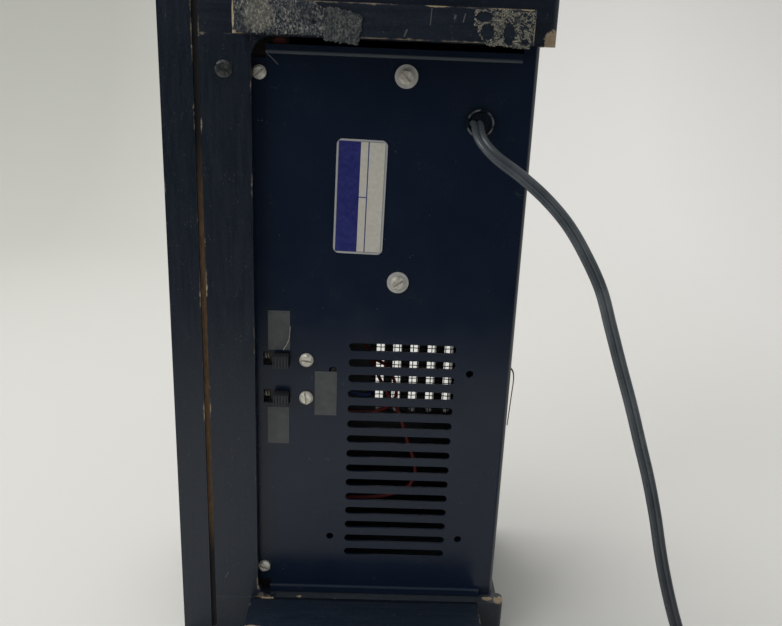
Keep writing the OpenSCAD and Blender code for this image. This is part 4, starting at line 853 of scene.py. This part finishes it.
def winding_paper():
    """Varnished paper round the transformer's winding, in faint rings."""
    s = Shader("varnished_paper", rough=0.55)
    wrap = s.wave(260, s.stretch((0, 1, 0)), 0.6, 2, "Y")
    s.set("Base Color", s.mix(wrap, (0.42, 0.32, 0.15), (0.58, 0.46, 0.24)))
    s.bump(wrap, 0.25, 0.0002)
    give("transformer_winding", s)


def boards():
    """Green solder mask over paler tracks."""
    s = Shader("solder_mask", rough=0.35)
    track = s.voronoi(160, s.stretch((0, 1, 1.6)), "DISTANCE_TO_EDGE")
    s.set("Base Color", s.mix(s.span(track, 0.02, 0.09), (0.09, 0.26, 0.12), (0.02, 0.10, 0.045)))
    s.bump(track, 0.2, 0.0001)
    give("display_board", s)
    give("main_board", s)


def resistor_bands():
    """Tan lacquer with dark bands."""
    s = Shader("resistor_lacquer", rough=0.4)
    band = s.wave(170, s.stretch((0, 0, 1)), 0, 0, "Z")
    s.set("Base Color", s.mix(s.span(band, 0.7, 0.75), (0.46, 0.32, 0.17), (0.25, 0.06, 0.03)))
    s.bump(s.noise(800, 2), 0.1, 0.0001)
    give("resistors", s)


def display_digits():
    """Dark red digits with a fine grain of dots."""
    s = Shader("dark_red_display", rough=0.2)
    dots = s.voronoi(700)
    s.set("Base Color", s.mix(s.span(dots, 0.1, 0.5), (0.10, 0.018, 0.016), (0.045, 0.008, 0.008)))
    s.bump(dots, 0.1, 0.0001)
    give("display_digits", s)


def display_window():
    """Clear dark red acrylic."""
    s = Shader("dark_red_acrylic", (0.30, 0.012, 0.016), 0.05, spec=0.5)
    s.set("Transmission Weight", 0.85)
    s.set("IOR", 1.49)
    s.set("Roughness", s.span(s.noise(40, 4), 0.3, 0.7, 0.03, 0.09))
    s.set("Base Color", s.mix(s.noise(18, 3), (0.30, 0.012, 0.016), (0.24, 0.01, 0.014)))
    give("display_window", s)


# Loose bits
CURL = [(53.8, 5.6, 165.4), (53.5, 5.0, 160.7), (52.7, 3.9, 157.6), (50.7, 3.4, 154.2)]
SLIVER = [(158.1, 9.5, 147.5), (160.3, 8.5, 143.1), (160.0, 8.5, 131.4), (159.5, 9.5, 116.5)]
HAIR = [(43.1, 5.9, 286.1), (46.2, 4.6, 283.8), (48.5, 5.8, 281.3)]


def ribbon(name, points, width, side, thick, shader):
    """A thin flat strip along points, its width laid along side and narrower at both ends."""
    corners = ((-1, -1), (1, -1), (1, 1), (-1, 1))
    verts, faces, n = [], [], len(points)
    for i, p in enumerate(points):
        t = along(points, i)
        across = (side - side.dot(t) * t).normalized()
        up = t.cross(across)
        w = width * (1 - 0.7 * abs(2 * i / (n - 1) - 1) ** 3)
        verts += [p + across * a * w / 2 + up * b * thick / 2 for a, b in corners]
    for i in range(0, 4 * n - 4, 4):
        faces += [(i + k, i + (k + 1) % 4, i + 4 + (k + 1) % 4, i + 4 + k) for k in range(4)]
    faces += [(3, 2, 1, 0), tuple(4 * n - 4 + k for k in range(4))]
    on_case(new_mesh(name, verts, faces, False), shader)


def bend_through(marks, steps=6):
    """A smooth run of points through a few marks given in clock mm."""
    marks = [at(*m) for m in marks]
    pts = []
    for i in range(len(marks) - 1):
        around = list(four_around(marks, i))
        pts += [glide(*around, k / steps) for k in range(steps)]
    return pts + [marks[-1]]


def loose_bits():
    """A lifting tag corner, a peeled sliver of hardboard and a stray hair."""
    s = Shader("torn_tape_edge", rough=0.5, spec=0.3)
    s.set("Base Color", s.mix(s.span(s.noise(900, 3), 0.4, 0.6), (0.30, 0.29, 0.25), (0.52, 0.50, 0.44)))
    s.bump(s.noise(1500, 2), 0.2, 0.0001)
    ribbon("tag_curl", bend_through(CURL), 0.0007, Vector((0, 1, 0.2)), 0.00015, s)
    s = Shader("peeled_hardboard", rough=0.7, spec=0.2)
    fibre = s.span(s.noise(900, 4, 0.7), 0.35, 0.65)
    s.set("Base Color", s.mix(fibre, (0.06, 0.036, 0.02), (0.17, 0.11, 0.065)))
    s.bump(s.noise(1200, 3), 0.4, 0.0002)
    ribbon("peeled_sliver", bend_through(SLIVER), 0.0016, Vector((0.3, 1, 0)), 0.0004, s)
    s = Shader("pale_hair", rough=0.5, spec=0.4)
    s.set("Base Color", s.mix(s.noise(700, 2), (0.20, 0.21, 0.21), (0.30, 0.31, 0.31)))
    s.bump(s.noise(2500, 2), 0.1, 0.0001)
    ribbon("stray_hair", bend_through(HAIR), 0.00018, Vector((0, 1, 0)), 0.00012, s)


painted_wood()
corner_blocks()
hardboard()
steel_enamel()
metals()
laminations()
rail_screw()
data_plate()
legend_tags()
felt_pads()
bushing()
plastics()
winding_paper()
boards()
resistor_bands()
display_digits()
display_window()
loose_bits()


# Woven vent screen
WIRE_PITCH, WIRE_RADIUS, WIRE_SIDES = 0.0027, 0.00029, 5


def strand(points, verts, faces):
    """Adds one wire along points to a mesh."""
    m, base = WIRE_SIDES, len(verts)
    for i, p in enumerate(points):
        t = along(points, i)
        b = t.cross(Vector((0, 1, 0))).normalized()
        a = b.cross(t)
        for k in range(m):
            q = 2 * math.pi * k / m
            verts.append(p + a * WIRE_RADIUS * math.cos(q) + b * WIRE_RADIUS * math.sin(q))
    end = base + (len(points) - 1) * m
    for i in range(base, end, m):
        for k in range(m):
            c, d = i + k, i + (k + 1) % m
            faces.append((c, d, d + m, c + m))
    faces.append(tuple(base + k for k in reversed(range(m))))
    faces.append(tuple(end + k for k in range(m)))


def wire_cloth():
    """Dull dark wire."""
    s = Shader("wire_cloth", rough=0.5, metal=0.6)
    n = s.noise(900, 3)
    s.set("Base Color", s.mix(s.span(n, 0.3, 0.7), (0.03, 0.032, 0.034), (0.08, 0.08, 0.078)))
    s.bump(n, 0.3, 0.0001)
    return s


def vent_screen():
    """Fine wire cloth under the top panel, each wire over and under its neighbours."""
    lo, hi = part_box("vent_screen")
    pitch, r = WIRE_PITCH, WIRE_RADIUS
    nx, nz = (int((hi[i] - lo[i] - 2 * r) / pitch) for i in (0, 2))
    x0, z0 = (lo[0] + hi[0] - nx * pitch) / 2, (lo[2] + hi[2] - nz * pitch) / 2
    y = hi[1] - 2.2 * r
    verts, faces = [], []

    def crossing(i, j, over):
        return Vector((x0 + i * pitch, y + (over if (i + j) % 2 else -over), z0 + j * pitch))

    for i in range(nx + 1):
        strand([crossing(i, j, r) for j in range(nz + 1)], verts, faces)
    for j in range(nz + 1):
        strand([crossing(i, j, -r) for i in range(nx + 1)], verts, faces)
    o = new_mesh("woven_vent_screen", verts, faces)
    on_case(o, wire_cloth())
    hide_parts("vent_screen")


vent_screen()
